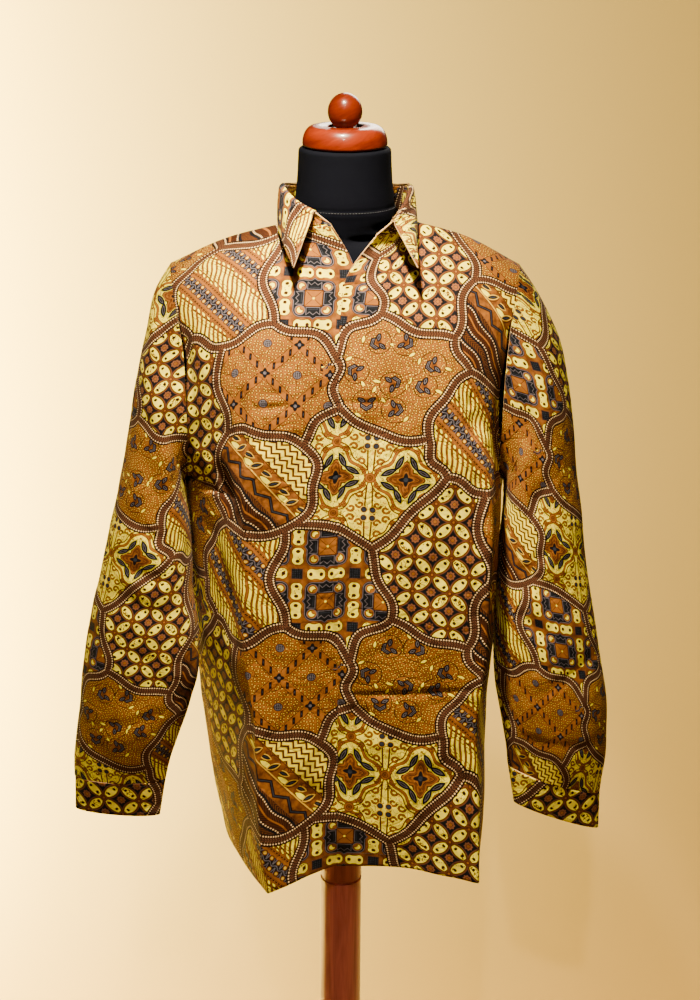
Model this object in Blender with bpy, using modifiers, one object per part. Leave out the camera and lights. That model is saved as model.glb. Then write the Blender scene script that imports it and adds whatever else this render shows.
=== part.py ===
# A long-sleeved batik shirt, worn open at the neck by a limbless dress form on a wooden pole.
# Metres, +Z up. The origin is the centre of the base's underside. The shirt faces -Y, and the
# wearer's right side lies at -X.

import math

import bmesh
import bpy
import numpy as np

for old in list(bpy.data.objects):
    bpy.data.objects.remove(old, do_unlink=True)

# Cloth
clothThickness = 0.0015
collarThickness = 0.0018
cuffThickness = 0.0022
seamGap = 0.0003
# Each edge is drawn in by a little more than half the gap.
seamTrim = seamGap * 0.6
# Two pieces share normals at a seam above the second cosine, and not at all below the first.
foldBack = (0.3, 0.6)

# Dress form
neckRadius = 0.0528
neckTop = 1.5015
torsoBottom = 0.840
torsoSides = 32
# The rounded rims of the neck and of the torso's foot, as parts of the ring next to them.
neckRim = 0.955
footRim = 0.90
capRadius = 0.0485
capThickness = 0.0237
capLowerEdge = 0.0040
capUpperEdge = 0.0125
seatDepth = 0.0030
knobRadius = 0.0196
knobHalfHeight = 0.0210
# The knob is cut off flat this many degrees below its middle.
knobCut = 62
poleRadius = 0.0260
grooveHeight = 0.5735
grooveDepth = 0.0015
baseRadius = 0.165
baseThickness = 0.030

# Levels of the body, as heights above the hem along the cloth: hem, low, hip, waist, rib,
# armpit, chest, upper chest, collarbone, throat and the top line (neck seam and shoulder).
levels = (0.0, 0.070, 0.165, 0.295, 0.395, 0.485, 0.565, 0.645, 0.715, 0.770, 0.815)
armpitLevel = 5

# Round the armhole a level meets the sleeve at this part of a half turn, from the shoulder's
# tip (0) down to the armpit (1).
armholeTurns = (1.0, 0.72, 0.50, 0.30, 0.13, 0.0)

# Lines that run up each front, one point (x, y, z) a level.
frontLeft = {
    "edge": (
        (-0.0050, -0.090, 0.634), (-0.0050, -0.098, 0.702), (-0.0050, -0.104, 0.800),
        (-0.0050, -0.110, 0.925), (-0.0050, -0.114, 1.022), (-0.0050, -0.117, 1.112),
        (-0.0050, -0.118, 1.192), (-0.0050, -0.114, 1.272), (-0.0025, -0.099, 1.340),
        (0.0060, -0.090, 1.377), (0.0359, -0.080, 1.415)),
    "middle": (
        (0.040, -0.092, 0.636), (0.040, -0.100, 0.702), (0.040, -0.106, 0.800),
        (0.040, -0.112, 0.925), (0.040, -0.116, 1.022), (0.040, -0.119, 1.112),
        (0.040, -0.120, 1.192), (0.040, -0.115, 1.272), (0.041, -0.100, 1.339),
        (0.046, -0.080, 1.382), (0.0620, -0.050, 1.4150)),
    "neck": (
        (0.090, -0.099, 0.635), (0.088, -0.104, 0.701), (0.086, -0.108, 0.800),
        (0.087, -0.113, 0.925), (0.088, -0.116, 1.021), (0.088, -0.119, 1.111),
        (0.088, -0.118, 1.191), (0.087, -0.108, 1.271), (0.085, -0.088, 1.337),
        (0.081, -0.054, 1.383), (0.0775, 0.000, 1.4180)),
    "crease": (
        (0.1692, -0.112, 0.623), (0.1685, -0.112, 0.694), (0.1608, -0.112, 0.812),
        (0.1660, -0.112, 0.920), (0.1670, -0.112, 1.018), (0.1660, -0.109, 1.108),
        (0.1560, -0.102, 1.186), (0.1530, -0.092, 1.264), (0.1515, -0.068, 1.329),
        (0.1460, -0.038, 1.3730), (0.1400, 0.000, 1.4005)),
    "side": (
        (0.1770, 0.0, 0.629), (0.1790, 0.0, 0.698), (0.1800, 0.0, 0.796),
        (0.1820, 0.0, 0.918), (0.1830, 0.0, 1.016), (0.1865, 0.0, 1.110)),
    "sharp": (1.0, 1.0, 1.0, 1.0, 0.9, 0.7, 0.4, 0.2, 0.0, 0.0, 0.0),
}
frontRight = {
    "edge": (
        (0.0200, -0.0882, 0.636), (0.0200, -0.0962, 0.702), (0.0200, -0.1022, 0.800),
        (0.0200, -0.1082, 0.925), (0.0200, -0.1122, 1.022), (0.0200, -0.1152, 1.112),
        (0.0200, -0.1162, 1.192), (0.0200, -0.1116, 1.272), (0.0180, -0.0966, 1.338),
        (0.0094, -0.0850, 1.387), (-0.0153, -0.0800, 1.428)),
    "middle": (
        (-0.0220, -0.0945, 0.631), (-0.0220, -0.1000, 0.700), (-0.0220, -0.1055, 0.798),
        (-0.0225, -0.1115, 0.923), (-0.0230, -0.1155, 1.021), (-0.0230, -0.1180, 1.111),
        (-0.0230, -0.1190, 1.191), (-0.0240, -0.1150, 1.271), (-0.0250, -0.1010, 1.338),
        (-0.0330, -0.0810, 1.386), (-0.0540, -0.0500, 1.4190)),
    "neck": (
        (-0.055, -0.107, 0.622), (-0.057, -0.109, 0.694), (-0.060, -0.111, 0.794),
        (-0.064, -0.114, 0.921), (-0.065, -0.117, 1.020), (-0.066, -0.119, 1.110),
        (-0.067, -0.119, 1.190), (-0.068, -0.112, 1.270), (-0.070, -0.093, 1.336),
        (-0.073, -0.056, 1.383), (-0.0715, 0.000, 1.4140)),
    "crease": (
        (-0.0896, -0.120, 0.611), (-0.0970, -0.118, 0.690), (-0.1030, -0.116, 0.790),
        (-0.1110, -0.115, 0.920), (-0.1105, -0.115, 1.020), (-0.1098, -0.115, 1.110),
        (-0.1090, -0.112, 1.190), (-0.1090, -0.102, 1.270), (-0.1120, -0.080, 1.332),
        (-0.1250, -0.044, 1.374), (-0.1391, 0.000, 1.3955)),
    "side": (
        (-0.1380, 0.0, 0.613), (-0.1500, 0.0, 0.692), (-0.1630, 0.0, 0.787),
        (-0.1750, 0.0, 0.917), (-0.1800, 0.0, 1.016), (-0.1850, 0.0, 1.110)),
    "sharp": (1.0, 1.0, 1.0, 1.0, 1.0, 0.9, 0.7, 0.5, 0.3, 0.0, 0.0),
}
# The right front's lap lies behind the left front's edge.
lapLine = (
    (-0.0045, -0.0878, 0.634), (-0.0045, -0.0958, 0.702), (-0.0045, -0.1018, 0.800),
    (-0.0045, -0.1078, 0.925), (-0.0045, -0.1118, 1.022), (-0.0045, -0.1148, 1.112),
    (-0.0045, -0.1158, 1.192), (-0.0045, -0.1118, 1.272), (-0.0045, -0.0972, 1.338),
    (-0.0080, -0.0850, 1.386), (-0.0310, -0.0730, 1.4245))
backLines = {
    "creaseRight": (
        (-0.160, 0.104, 0.617), (-0.172, 0.105, 0.698), (-0.182, 0.105, 0.794),
        (-0.189, 0.103, 0.920), (-0.189, 0.101, 1.018), (-0.180, 0.103, 1.110),
        (-0.163, 0.107, 1.188), (-0.152, 0.100, 1.266), (-0.146, 0.074, 1.330),
        (-0.142, 0.036, 1.375), (-0.1391, 0.000, 1.3955)),
    "neckRight": (
        (-0.078, 0.115, 0.629), (-0.081, 0.114, 0.700), (-0.083, 0.112, 0.796),
        (-0.084, 0.111, 0.922), (-0.084, 0.112, 1.020), (-0.083, 0.116, 1.111),
        (-0.083, 0.119, 1.191), (-0.082, 0.114, 1.271), (-0.081, 0.094, 1.338),
        (-0.076, 0.053, 1.388), (-0.0715, 0.000, 1.4140)),
    "middleRight": (
        (-0.038, 0.117, 0.632), (-0.039, 0.115, 0.702), (-0.040, 0.113, 0.798),
        (-0.040, 0.112, 0.923), (-0.041, 0.113, 1.021), (-0.041, 0.117, 1.112),
        (-0.041, 0.120, 1.192), (-0.041, 0.117, 1.272), (-0.043, 0.101, 1.340),
        (-0.048, 0.078, 1.390), (-0.0560, 0.048, 1.4205)),
    "centre": (
        (0.004, 0.117, 0.634), (0.003, 0.115, 0.703), (0.002, 0.113, 0.799),
        (0.001, 0.112, 0.924), (0.0, 0.114, 1.022), (0.0, 0.118, 1.112),
        (0.0, 0.121, 1.192), (0.0, 0.118, 1.272), (0.0, 0.104, 1.341),
        (0.0, 0.085, 1.391), (0.0020, 0.068, 1.426)),
    "middleLeft": (
        (0.046, 0.117, 0.634), (0.045, 0.115, 0.703), (0.044, 0.113, 0.799),
        (0.043, 0.112, 0.924), (0.043, 0.113, 1.021), (0.043, 0.117, 1.112),
        (0.043, 0.120, 1.192), (0.043, 0.117, 1.272), (0.045, 0.101, 1.340),
        (0.050, 0.078, 1.390), (0.0590, 0.048, 1.4215)),
    "neckLeft": (
        (0.090, 0.116, 0.632), (0.088, 0.114, 0.702), (0.087, 0.112, 0.798),
        (0.086, 0.111, 0.923), (0.086, 0.112, 1.021), (0.086, 0.116, 1.111),
        (0.086, 0.119, 1.191), (0.085, 0.114, 1.271), (0.084, 0.094, 1.338),
        (0.082, 0.053, 1.389), (0.0775, 0.000, 1.4180)),
    "creaseLeft": (
        (0.172, 0.104, 0.630), (0.174, 0.105, 0.700), (0.176, 0.105, 0.796),
        (0.181, 0.103, 0.920), (0.183, 0.101, 1.018), (0.178, 0.103, 1.110),
        (0.163, 0.107, 1.188), (0.153, 0.100, 1.266), (0.147, 0.074, 1.331),
        (0.143, 0.036, 1.378), (0.1400, 0.000, 1.4005)),
    "sharp": (0.8, 0.8, 0.8, 0.7, 0.5, 0.2, 0.0, 0.0, 0.0, 0.0, 0.0),
}

# Armholes and sleeves: a ring has an inner point and an outer point (x, z), the depth y of its
# middle and half its depth. The first ring is the armhole, the last the cuff's seam.
armholeInset = 0.010
sleeveRight = (
    # inner x, inner z, outer x, outer z, middle y, half depth
    (-0.1850, 1.110, -0.2010, 1.3665, 0.000, 0.062),
    (-0.1915, 1.105, -0.2180, 1.3385, -0.004, 0.063),
    (-0.1920, 1.088, -0.2300, 1.2900, -0.009, 0.063),
    (-0.1885, 1.055, -0.2410, 1.2360, -0.014, 0.060),
    (-0.1865, 1.015, -0.2530, 1.1760, -0.019, 0.057),
    (-0.1845, 0.975, -0.2660, 1.1055, -0.024, 0.055),
    (-0.1805, 0.935, -0.2845, 1.0260, -0.029, 0.053),
    (-0.1780, 0.895, -0.3015, 0.9500, -0.033, 0.051),
    (-0.1800, 0.855, -0.3150, 0.8800, -0.036, 0.047),
    (-0.1930, 0.806, -0.3235, 0.8120, -0.040, 0.042),
    (-0.2060, 0.768, -0.3280, 0.7680, -0.042, 0.034),
    (-0.2170, 0.7315, -0.3290, 0.7345, -0.043, 0.025))
sleeveLeft = (
    (0.1865, 1.110, 0.2030, 1.3675, 0.000, 0.062),
    (0.1925, 1.105, 0.2225, 1.3395, -0.004, 0.063),
    (0.1940, 1.086, 0.2480, 1.2900, -0.009, 0.063),
    (0.1915, 1.052, 0.2630, 1.2350, -0.014, 0.060),
    (0.1890, 1.012, 0.2715, 1.1760, -0.019, 0.057),
    (0.1870, 0.972, 0.2795, 1.1120, -0.024, 0.055),
    (0.1858, 0.932, 0.2885, 1.0380, -0.029, 0.053),
    (0.1858, 0.893, 0.3015, 0.9550, -0.033, 0.051),
    (0.1880, 0.850, 0.3160, 0.8800, -0.036, 0.047),
    (0.1970, 0.800, 0.3250, 0.8080, -0.040, 0.042),
    (0.2020, 0.776, 0.3260, 0.7640, -0.042, 0.034),
    (0.2051, 0.752, 0.3200, 0.7170, -0.043, 0.025))
cuffRight = (
    (-0.2172, 0.7305, -0.3290, 0.7335, -0.043, 0.025),
    (-0.2253, 0.6815, -0.3300, 0.6900, -0.045, 0.014))
cuffLeft = (
    (0.2053, 0.7510, 0.3200, 0.7160, -0.043, 0.025),
    (0.2138, 0.7020, 0.3203, 0.6670, -0.045, 0.014))

# Collar, from the wearer's right end round the back to the left end: the fold line at the top,
# the leaf's lower edge, and how far the leaf bows out between them. The stand rises from the
# neck seam to just under the fold.
collarFold = (
    (-0.0321, -0.0720, 1.4410), (-0.0560, -0.0420, 1.4490), (-0.0705, 0.0000, 1.4590),
    (-0.0540, 0.0440, 1.4530), (0.0020, 0.0640, 1.4505), (0.0590, 0.0440, 1.4530),
    (0.0745, 0.0000, 1.4585), (0.0660, -0.0420, 1.4430), (0.0531, -0.0720, 1.4304))
collarEdge = (
    (-0.0565, -0.1000, 1.3824), (-0.0690, -0.0600, 1.4010), (-0.0765, -0.0050, 1.4150),
    (-0.0640, 0.0590, 1.4160), (0.0020, 0.0810, 1.4150), (0.0700, 0.0590, 1.4180),
    (0.0825, -0.0050, 1.4190), (0.0825, -0.0600, 1.4020), (0.0830, -0.1000, 1.3828))
collarBow = (0.0, 0.001, 0.001, 0.003, 0.004, 0.003, 0.001, 0.001, 0.0)
foldRise = 0.0026
# Round the fold, from inside the neck: how far out from the stand's top, and how far above it.
foldRoll = ((-0.0014, 0.0027), (0.0016, 0.0026), (0.0042, 0.0002), (0.0052, -0.0035))

# Largest folds: from, to (x, y, z), depth (positive sinks in), half width.
folds = (
    ((-0.212, -0.055, 1.335), (-0.200, -0.068, 1.255), 0.010, 0.014),
    ((0.166, -0.108, 1.250), (0.166, -0.112, 1.205), 0.010, 0.017),
    ((0.215, -0.070, 1.300), (0.205, -0.075, 1.180), 0.007, 0.013),
    ((-0.190, -0.075, 1.240), (-0.186, -0.070, 1.110), 0.006, 0.014),
    ((0.225, -0.090, 1.010), (0.285, -0.090, 0.975), 0.006, 0.014),
    ((-0.215, -0.090, 0.960), (-0.285, -0.085, 0.985), 0.005, 0.014),
    ((-0.060, 0.118, 1.180), (-0.080, 0.112, 0.750), 0.006, 0.020),
    ((0.070, 0.118, 1.120), (0.060, 0.112, 0.700), 0.006, 0.020))

# Dress form: height, half width, depth in front, depth behind, and roundness (2 is an oval).
torsoSections = (
    (0.842, 0.140, 0.074, 0.076, 2.2),
    (0.850, 0.150, 0.082, 0.084, 2.3),
    (0.880, 0.157, 0.087, 0.088, 2.4),
    (0.950, 0.154, 0.088, 0.088, 2.4),
    (1.030, 0.146, 0.086, 0.084, 2.4),
    (1.110, 0.152, 0.093, 0.088, 2.4),
    (1.190, 0.163, 0.098, 0.094, 2.4),
    (1.260, 0.170, 0.094, 0.095, 2.4),
    (1.310, 0.171, 0.080, 0.088, 2.3),
    (1.345, 0.165, 0.066, 0.076, 2.1),
    (1.368, 0.155, 0.058, 0.064, 1.8),
    (1.3858, 0.142, 0.053, 0.056, 1.5),
    (1.3953, 0.128, 0.051, 0.054, 1.25),
    (1.3988, 0.113, 0.050, 0.053, 1.15),
    (1.4030, 0.088, 0.049, 0.053, 1.2),
    (1.4098, 0.061, 0.050, 0.053, 1.8),
    (1.424, 0.0590, 0.0525, 0.0535, 2.0),
    (1.440, 0.0570, 0.0545, 0.0545, 2.0),
    (1.465, 0.0545, 0.0540, 0.0540, 2.0),
    (1.4975, neckRadius, neckRadius, neckRadius, 2.0))

black = (0.030, 0.031, 0.036)
cherry = (0.36, 0.085, 0.025)
batik = (0.40, 0.22, 0.085)

parts = bpy.data.collections.new("batik_shirt_on_dress_form")
bpy.context.scene.collection.children.link(parts)


def material(name, colour, roughness):
    made = bpy.data.materials.new(name)
    made.use_nodes = True
    shader = made.node_tree.nodes["Principled BSDF"]
    shader.inputs["Base Color"].default_value = (*colour, 1.0)
    shader.inputs["Roughness"].default_value = roughness
    return made


def addPart(name, mesh, colour, roughness):
    mesh.materials.append(material(name, colour, roughness))
    mesh.shade_smooth()
    mesh.set_sharp_from_angle(angle=math.radians(40))
    made = bpy.data.objects.new(name, mesh)
    parts.objects.link(made)
    return made


def slopes(points, knots):
    """Tangent of a smooth curve at each of its points."""
    steps = np.diff(knots)[:, None]
    rates = np.diff(points, axis=0) / steps
    inner = (rates[:-1] * steps[1:] + rates[1:] * steps[:-1]) / (steps[1:] + steps[:-1])
    return np.vstack([rates[:1], inner, rates[-1:]])


def hermite(start, end, startSlope, endSlope, step, share):
    s2, s3 = share * share, share ** 3
    return ((2 * s3 - 3 * s2 + 1) * start + (s3 - 2 * s2 + share) * step * startSlope
            + (3 * s2 - 2 * s3) * end + (s3 - s2) * step * endSlope)


def along(points, knots, places):
    """Points of a smooth curve through points, at places on the scale of its knots."""
    points, knots = np.asarray(points, float), np.asarray(knots, float)
    if points.ndim == 1:
        return along(points[:, None], knots, places)[:, 0]
    tangents = slopes(points, knots)
    found = []
    for place in places:
        at = min(max(int(np.searchsorted(knots, place, "right")) - 1, 0), len(knots) - 2)
        step = knots[at + 1] - knots[at]
        found.append(hermite(points[at], points[at + 1], tangents[at], tangents[at + 1],
                             step, (place - knots[at]) / step))
    return np.array(found)


def across(points, counts, sharp, endSlopes=(None, None)):
    """Points of one level across a panel. sharp says how much of a corner each point is, and
    endSlopes may give the direction in which the curve starts or ends."""
    steps = np.linalg.norm(np.diff(points, axis=0), axis=1)
    knots = np.concatenate([[0.0], np.cumsum(steps)])
    smooth = slopes(points, knots)
    straight = np.diff(points, axis=0) / steps[:, None]
    if endSlopes[0] is not None:
        smooth[0] = endSlopes[0]
    if endSlopes[1] is not None:
        smooth[-1] = endSlopes[1]
    found = [points[0]]
    for at, count in enumerate(counts):
        leave = smooth[at] * (1 - sharp[at]) + straight[at] * sharp[at]
        arrive = smooth[at + 1] * (1 - sharp[at + 1]) + straight[at] * sharp[at + 1]
        for k in range(1, count + 1):
            found.append(hermite(points[at], points[at + 1], leave, arrive, steps[at], k / count))
    return np.array(found)


def levelPlaces(counts):
    """Where the rows of points lie, with so many rows between each two levels."""
    places = [levels[0]]
    for low, high, count in zip(levels, levels[1:], counts):
        places += [low + (high - low) * k / count for k in range(1, count + 1)]
    return places


rowCounts = (2, 2, 2, 2, 2, 2, 2, 2, 2, 2)
rows = levelPlaces(rowCounts)
armpitRow = sum(rowCounts[:armpitLevel])
turns = along(armholeTurns, levels[armpitLevel:], rows[armpitRow:])


def ringPoint(ring, turn, front, inset):
    """A point of a sleeve's ring: turn runs from its outer point (0) to its inner point (1)."""
    innerX, innerZ, outerX, outerZ, middleY, halfDepth = ring
    angle = math.pi * turn
    share = (1 - math.cos(angle)) / 2
    x = outerX + (innerX - outerX) * share
    x -= math.copysign(inset * math.sin(angle) ** 2, outerX)
    z = outerZ + (innerZ - outerZ) * share
    y = middleY - halfDepth * math.sin(angle) * (1 if front else -1)
    return (x, y, z)


def sideLine(side, ring, front):
    """The side seam up to the armpit, then one half of the armhole up to the shoulder's tip."""
    low = along(side, levels[:armpitLevel + 1], rows[:armpitRow + 1])
    high = [ringPoint(ring, turn, front, armholeInset) for turn in turns[1:]]
    return np.vstack([low, np.array(high)])


def tubeGrid(rings, inset=0.0, between=2):
    """Rings of a sleeve, each from the armpit up the front to the top and down the back."""
    table = np.array(rings)
    knots = np.concatenate([[0.0], np.cumsum(np.linalg.norm(np.diff(table, axis=0), axis=1))])
    places = [0.0]
    for low, high in zip(knots, knots[1:]):
        places += [low + (high - low) * k / between for k in range(1, between + 1)]
    grid = []
    for place, ring in zip(places, along(table, knots, places)):
        hold = inset * max(0.0, 1.0 - place / 0.05)
        frontHalf = [ringPoint(ring, turn, True, hold) for turn in turns]
        backHalf = [ringPoint(ring, turn, False, hold) for turn in turns[::-1][1:-1]]
        grid.append(frontHalf + backHalf)
    return np.array(grid)


def sinkFolds(grid, normals):
    """Presses the folds into a grid of points."""
    moved = grid.copy()
    for start, end, depth, halfWidth in folds:
        start, end = np.array(start), np.array(end)
        run = end - start
        share = np.clip(((grid - start) @ run) / (run @ run), 0.0, 1.0)
        gap = np.linalg.norm(grid - (start + share[..., None] * run), axis=-1)
        moved -= normals * (depth * np.exp(-(gap / halfWidth) ** 2))[..., None]
    return moved


def gridQuads(shape, closed):
    rowTotal, columnTotal = shape
    columns = columnTotal if closed else columnTotal - 1
    for i in range(rowTotal - 1):
        for j in range(columns):
            k = (j + 1) % columnTotal
            yield (i * columnTotal + j, i * columnTotal + k,
                   (i + 1) * columnTotal + k, (i + 1) * columnTotal + j)


def faceNormals(points, quads):
    """Normals at points, summed over the faces round each."""
    diagonals = (points[quads[:, 2]] - points[quads[:, 0]], points[quads[:, 3]] - points[quads[:, 1]])
    crosses = np.cross(*diagonals)
    sums = np.zeros((len(points), 3))
    for corner in range(4):
        np.add.at(sums, quads[:, corner], crosses)
    return sums


def seamNormals(grids, closed):
    """Normals of the cloth as if it were sewn: pieces share them at a seam, except where the
    cloth folds back on itself there, as it does in the armpit."""
    points = np.vstack([grid.reshape(-1, 3) for grid in grids.values()])
    starts = np.cumsum([0] + [grid.shape[0] * grid.shape[1] for grid in grids.values()])
    quads = np.array([[start + v for v in quad]
                      for start, (name, grid) in zip(starts, grids.items())
                      for quad in gridQuads(grid.shape[:2], closed[name])])
    own = faceNormals(points, quads)
    keys = {}
    same = np.array([keys.setdefault(tuple(np.round(p, 5)), len(keys)) for p in points])
    sums = np.zeros((len(keys), 3))
    np.add.at(sums, same, own)
    shared = sums[same] / np.linalg.norm(sums[same], axis=1)[:, None]
    own /= np.linalg.norm(own, axis=1)[:, None]
    least, most = foldBack
    agree = np.clip(((own * shared).sum(axis=1) - least) / (most - least), 0.0, 1.0)[:, None]
    mixed = shared * agree + own * (1 - agree)
    mixed /= np.linalg.norm(mixed, axis=1)[:, None]
    return {name: mixed[start:start + grid.shape[0] * grid.shape[1]].reshape(grid.shape)
            for start, (name, grid) in zip(starts, grids.items())}


def trimSeams(grid, normals, closed):
    """Draws a grid's edges in by half a seam's gap, square to the edge."""
    trimmed = grid.copy()
    sides = [(0, 1, 0), (-1, -2, 0)]
    if not closed:
        sides += [(0, 1, 1), (-1, -2, 1)]
    for edge, inner, axis in sides:
        line, next_line = np.take(grid, edge, axis), np.take(grid, inner, axis)
        if closed:
            run = np.roll(line, -1, axis=0) - np.roll(line, 1, axis=0)
        else:
            run = np.gradient(line, axis=0)
        inward = np.cross(run, np.take(normals, edge, axis))
        inward *= np.sign((inward * (next_line - line)).sum(axis=-1))[:, None]
        inward /= np.linalg.norm(inward, axis=-1)[:, None]
        shift = np.zeros_like(grid)
        if axis == 0:
            shift[edge] = inward
        else:
            shift[:, edge] = inward
        trimmed += shift * seamTrim
    return trimmed


def clothWall(name, outer, normals, thickness, closed=False):
    """A closed wall of cloth: the outer points, and the same points moved in by its thickness."""
    inner = outer - normals * thickness
    outer, inner = (trimSeams(grid, normals, closed) for grid in (outer, inner))
    rowTotal, columnTotal = outer.shape[:2]
    made = bmesh.new()
    outside = [made.verts.new(p) for p in outer.reshape(-1, 3)]
    inside = [made.verts.new(p) for p in inner.reshape(-1, 3)]
    for quad in gridQuads(outer.shape[:2], closed):
        made.faces.new([outside[v] for v in quad])
        made.faces.new([inside[v] for v in reversed(quad)])
    columns = columnTotal if closed else columnTotal - 1
    last = (rowTotal - 1) * columnTotal
    for j in range(columns):
        k = (j + 1) % columnTotal
        made.faces.new([outside[k], outside[j], inside[j], inside[k]])
        made.faces.new([outside[last + j], outside[last + k], inside[last + k], inside[last + j]])
    if not closed:
        for i in range(rowTotal - 1):
            a, b = i * columnTotal, (i + 1) * columnTotal
            made.faces.new([outside[a], outside[b], inside[b], inside[a]])
            a, b = a + columnTotal - 1, b + columnTotal - 1
            made.faces.new([outside[b], outside[a], inside[a], inside[b]])
    bmesh.ops.recalc_face_normals(made, faces=made.faces)
    mesh = bpy.data.meshes.new(name)
    made.to_mesh(mesh)
    made.free()
    return addPart(name, mesh, batik, 0.8)


def frontGrid(lines, ring, extra=None):
    """One front, row by row from its edge to its side seam and armhole."""
    edge, middle, neck, crease = (along(lines[key], levels, rows)
                                  for key in ("edge", "middle", "neck", "crease"))
    side = sideLine(lines["side"], ring, True)
    sharp = along(lines["sharp"], levels, rows)
    lap = along(extra, levels, rows) if extra else None
    back = along(backLines["creaseLeft" if ring[0] > 0 else "creaseRight"], levels, rows)
    grid = []
    for at, place in enumerate(rows):
        points = [edge[at], middle[at], neck[at], crease[at], side[at]]
        corners = [0.0, 0.0, cornerAtNeck(place), sharp[at], 0.0]
        counts = [2, 2, 3, 4]
        if extra:
            points.insert(1, lap[at])
            corners.insert(1, 0.0)
            counts[0:1] = [1, 1]
        grid.append(across(np.array(points), counts, corners,
                           (None, seamSlope(crease[at], back[at], at))))
    return np.array(grid)


def cornerAtNeck(place):
    """The neck seam and the shoulder seam meet in a corner at the top."""
    return float(np.clip((place - levels[-2]) / (levels[-1] - levels[-2]), 0.0, 1.0))


def seamSlope(front, back, row):
    """Below the armpit front and back run on into each other at the side seam."""
    if row > armpitRow:
        return None
    run = back - front
    return run / np.linalg.norm(run)


def backGrid():
    """The back, row by row from the right side seam to the left one."""
    names = ("creaseRight", "neckRight", "middleRight", "centre", "middleLeft", "neckLeft",
             "creaseLeft")
    lines = [along(backLines[name], levels, rows) for name in names]
    sides = (sideLine(frontRight["side"], sleeveRight[0], False),
             sideLine(frontLeft["side"], sleeveLeft[0], False))
    fronts = (along(frontRight["crease"], levels, rows), along(frontLeft["crease"], levels, rows))
    sharp = along(backLines["sharp"], levels, rows)
    grid = []
    for at, place in enumerate(rows):
        points = np.array([sides[0][at]] + [line[at] for line in lines] + [sides[1][at]])
        neckCorner = cornerAtNeck(place)
        corners = [0.0, sharp[at], neckCorner, 0.0, 0.0, 0.0, neckCorner, sharp[at], 0.0]
        leave = seamSlope(fronts[0][at], lines[0][at], at)
        arrive = seamSlope(lines[-1][at], fronts[1][at], at)
        grid.append(across(points, (4, 3, 2, 2, 2, 2, 3, 4), corners, (leave, arrive)))
    return np.array(grid)


def collarGrids(neckSeam):
    """The stand, from the neck seam up, and the leaf, from over the stand down to its edge."""
    stations = np.linspace(0.0, 1.0, len(collarFold))
    places = np.linspace(0.0, 1.0, len(neckSeam))
    fold = along(collarFold, stations, places)
    edge = along(collarEdge, stations, places)
    bow = along(collarBow, stations, places)
    run = np.gradient(fold, axis=0)
    out = np.cross(run, (0.0, 0.0, 1.0))
    out *= np.sign((out * (fold - np.array((0.003, 0.0, 1.45)))).sum(axis=1))[:, None]
    out /= np.linalg.norm(out, axis=1)[:, None]
    up = np.array((0.0, 0.0, 1.0))
    foot, top = neckSeam + up * seamGap, fold - up * foldRise
    stand = np.array([foot + (top - foot) * share for share in (0.0, 0.5, 1.0)])
    roll = [top + out * across + up * height for across, height in foldRoll]
    lower = []
    for share in (0.33, 0.66, 1.0):
        start = roll[-1]
        swell = (bow * 4 * share * (1 - share))[:, None]
        lower.append(start + (edge - start) * share + out * swell)
    leaf = np.array(roll + lower)
    return stand, leaf


def buildShirt():
    grids = {
        "front_left": frontGrid(frontLeft, sleeveLeft[0]),
        "front_right": frontGrid(frontRight, sleeveRight[0], lapLine),
        "back": backGrid(),
        "sleeve_right": tubeGrid(sleeveRight, armholeInset),
        "sleeve_left": tubeGrid(sleeveLeft, armholeInset),
        "cuff_right": tubeGrid((sleeveRight[-1], cuffRight[1])),
        "cuff_left": tubeGrid((sleeveLeft[-1], cuffLeft[1])),
    }
    neckColumns = 4
    seam = np.vstack([
        grids["front_right"][-1, :neckColumns + 1],
        grids["back"][-1, 7 + 1:7 + 2 * neckColumns],
        grids["front_left"][-1, neckColumns::-1]])
    grids["collar_stand"], grids["collar_leaf"] = collarGrids(seam)
    # Every grid is turned so that its rows and columns wind the same way seen from outside.
    for name in ("front_right", "back", "collar_stand", "sleeve_left", "cuff_left"):
        grids[name] = grids[name][:, ::-1]
    closed = {name: name.startswith(("sleeve", "cuff")) for name in grids}
    normals = seamNormals(grids, closed)
    for name in ("front_left", "front_right", "back", "sleeve_right", "sleeve_left"):
        grids[name] = sinkFolds(grids[name], normals[name])
    normals = seamNormals(grids, closed)
    thicknesses = {"collar_stand": collarThickness, "collar_leaf": collarThickness,
                   "cuff_left": cuffThickness, "cuff_right": cuffThickness}
    for name, grid in grids.items():
        clothWall(name, grid, normals[name], thicknesses.get(name, clothThickness), closed[name])


def turned(name, profile, steps, colour, roughness):
    """A turned piece: its outline (radius, height), from the bottom up, about the Z axis."""
    mesh = bpy.data.meshes.new(name)
    points = [(radius, 0.0, height) for radius, height in reversed(profile)]
    mesh.from_pydata(points, [(k, k + 1) for k in range(len(points) - 1)], [])
    made = addPart(name, mesh, colour, roughness)
    screw = made.modifiers.new("Screw", "SCREW")
    screw.steps = steps
    screw.render_steps = steps
    screw.use_merge_vertices = True
    screw.merge_threshold = 0.00005
    return made


def arc(centre, radius, start, end, count):
    """Points of an arc, by its angles in degrees."""
    angles = [math.radians(start + (end - start) * k / count) for k in range(count + 1)]
    return [(centre[0] + radius[0] * math.cos(a), centre[1] + radius[1] * math.sin(a)) for a in angles]


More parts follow.
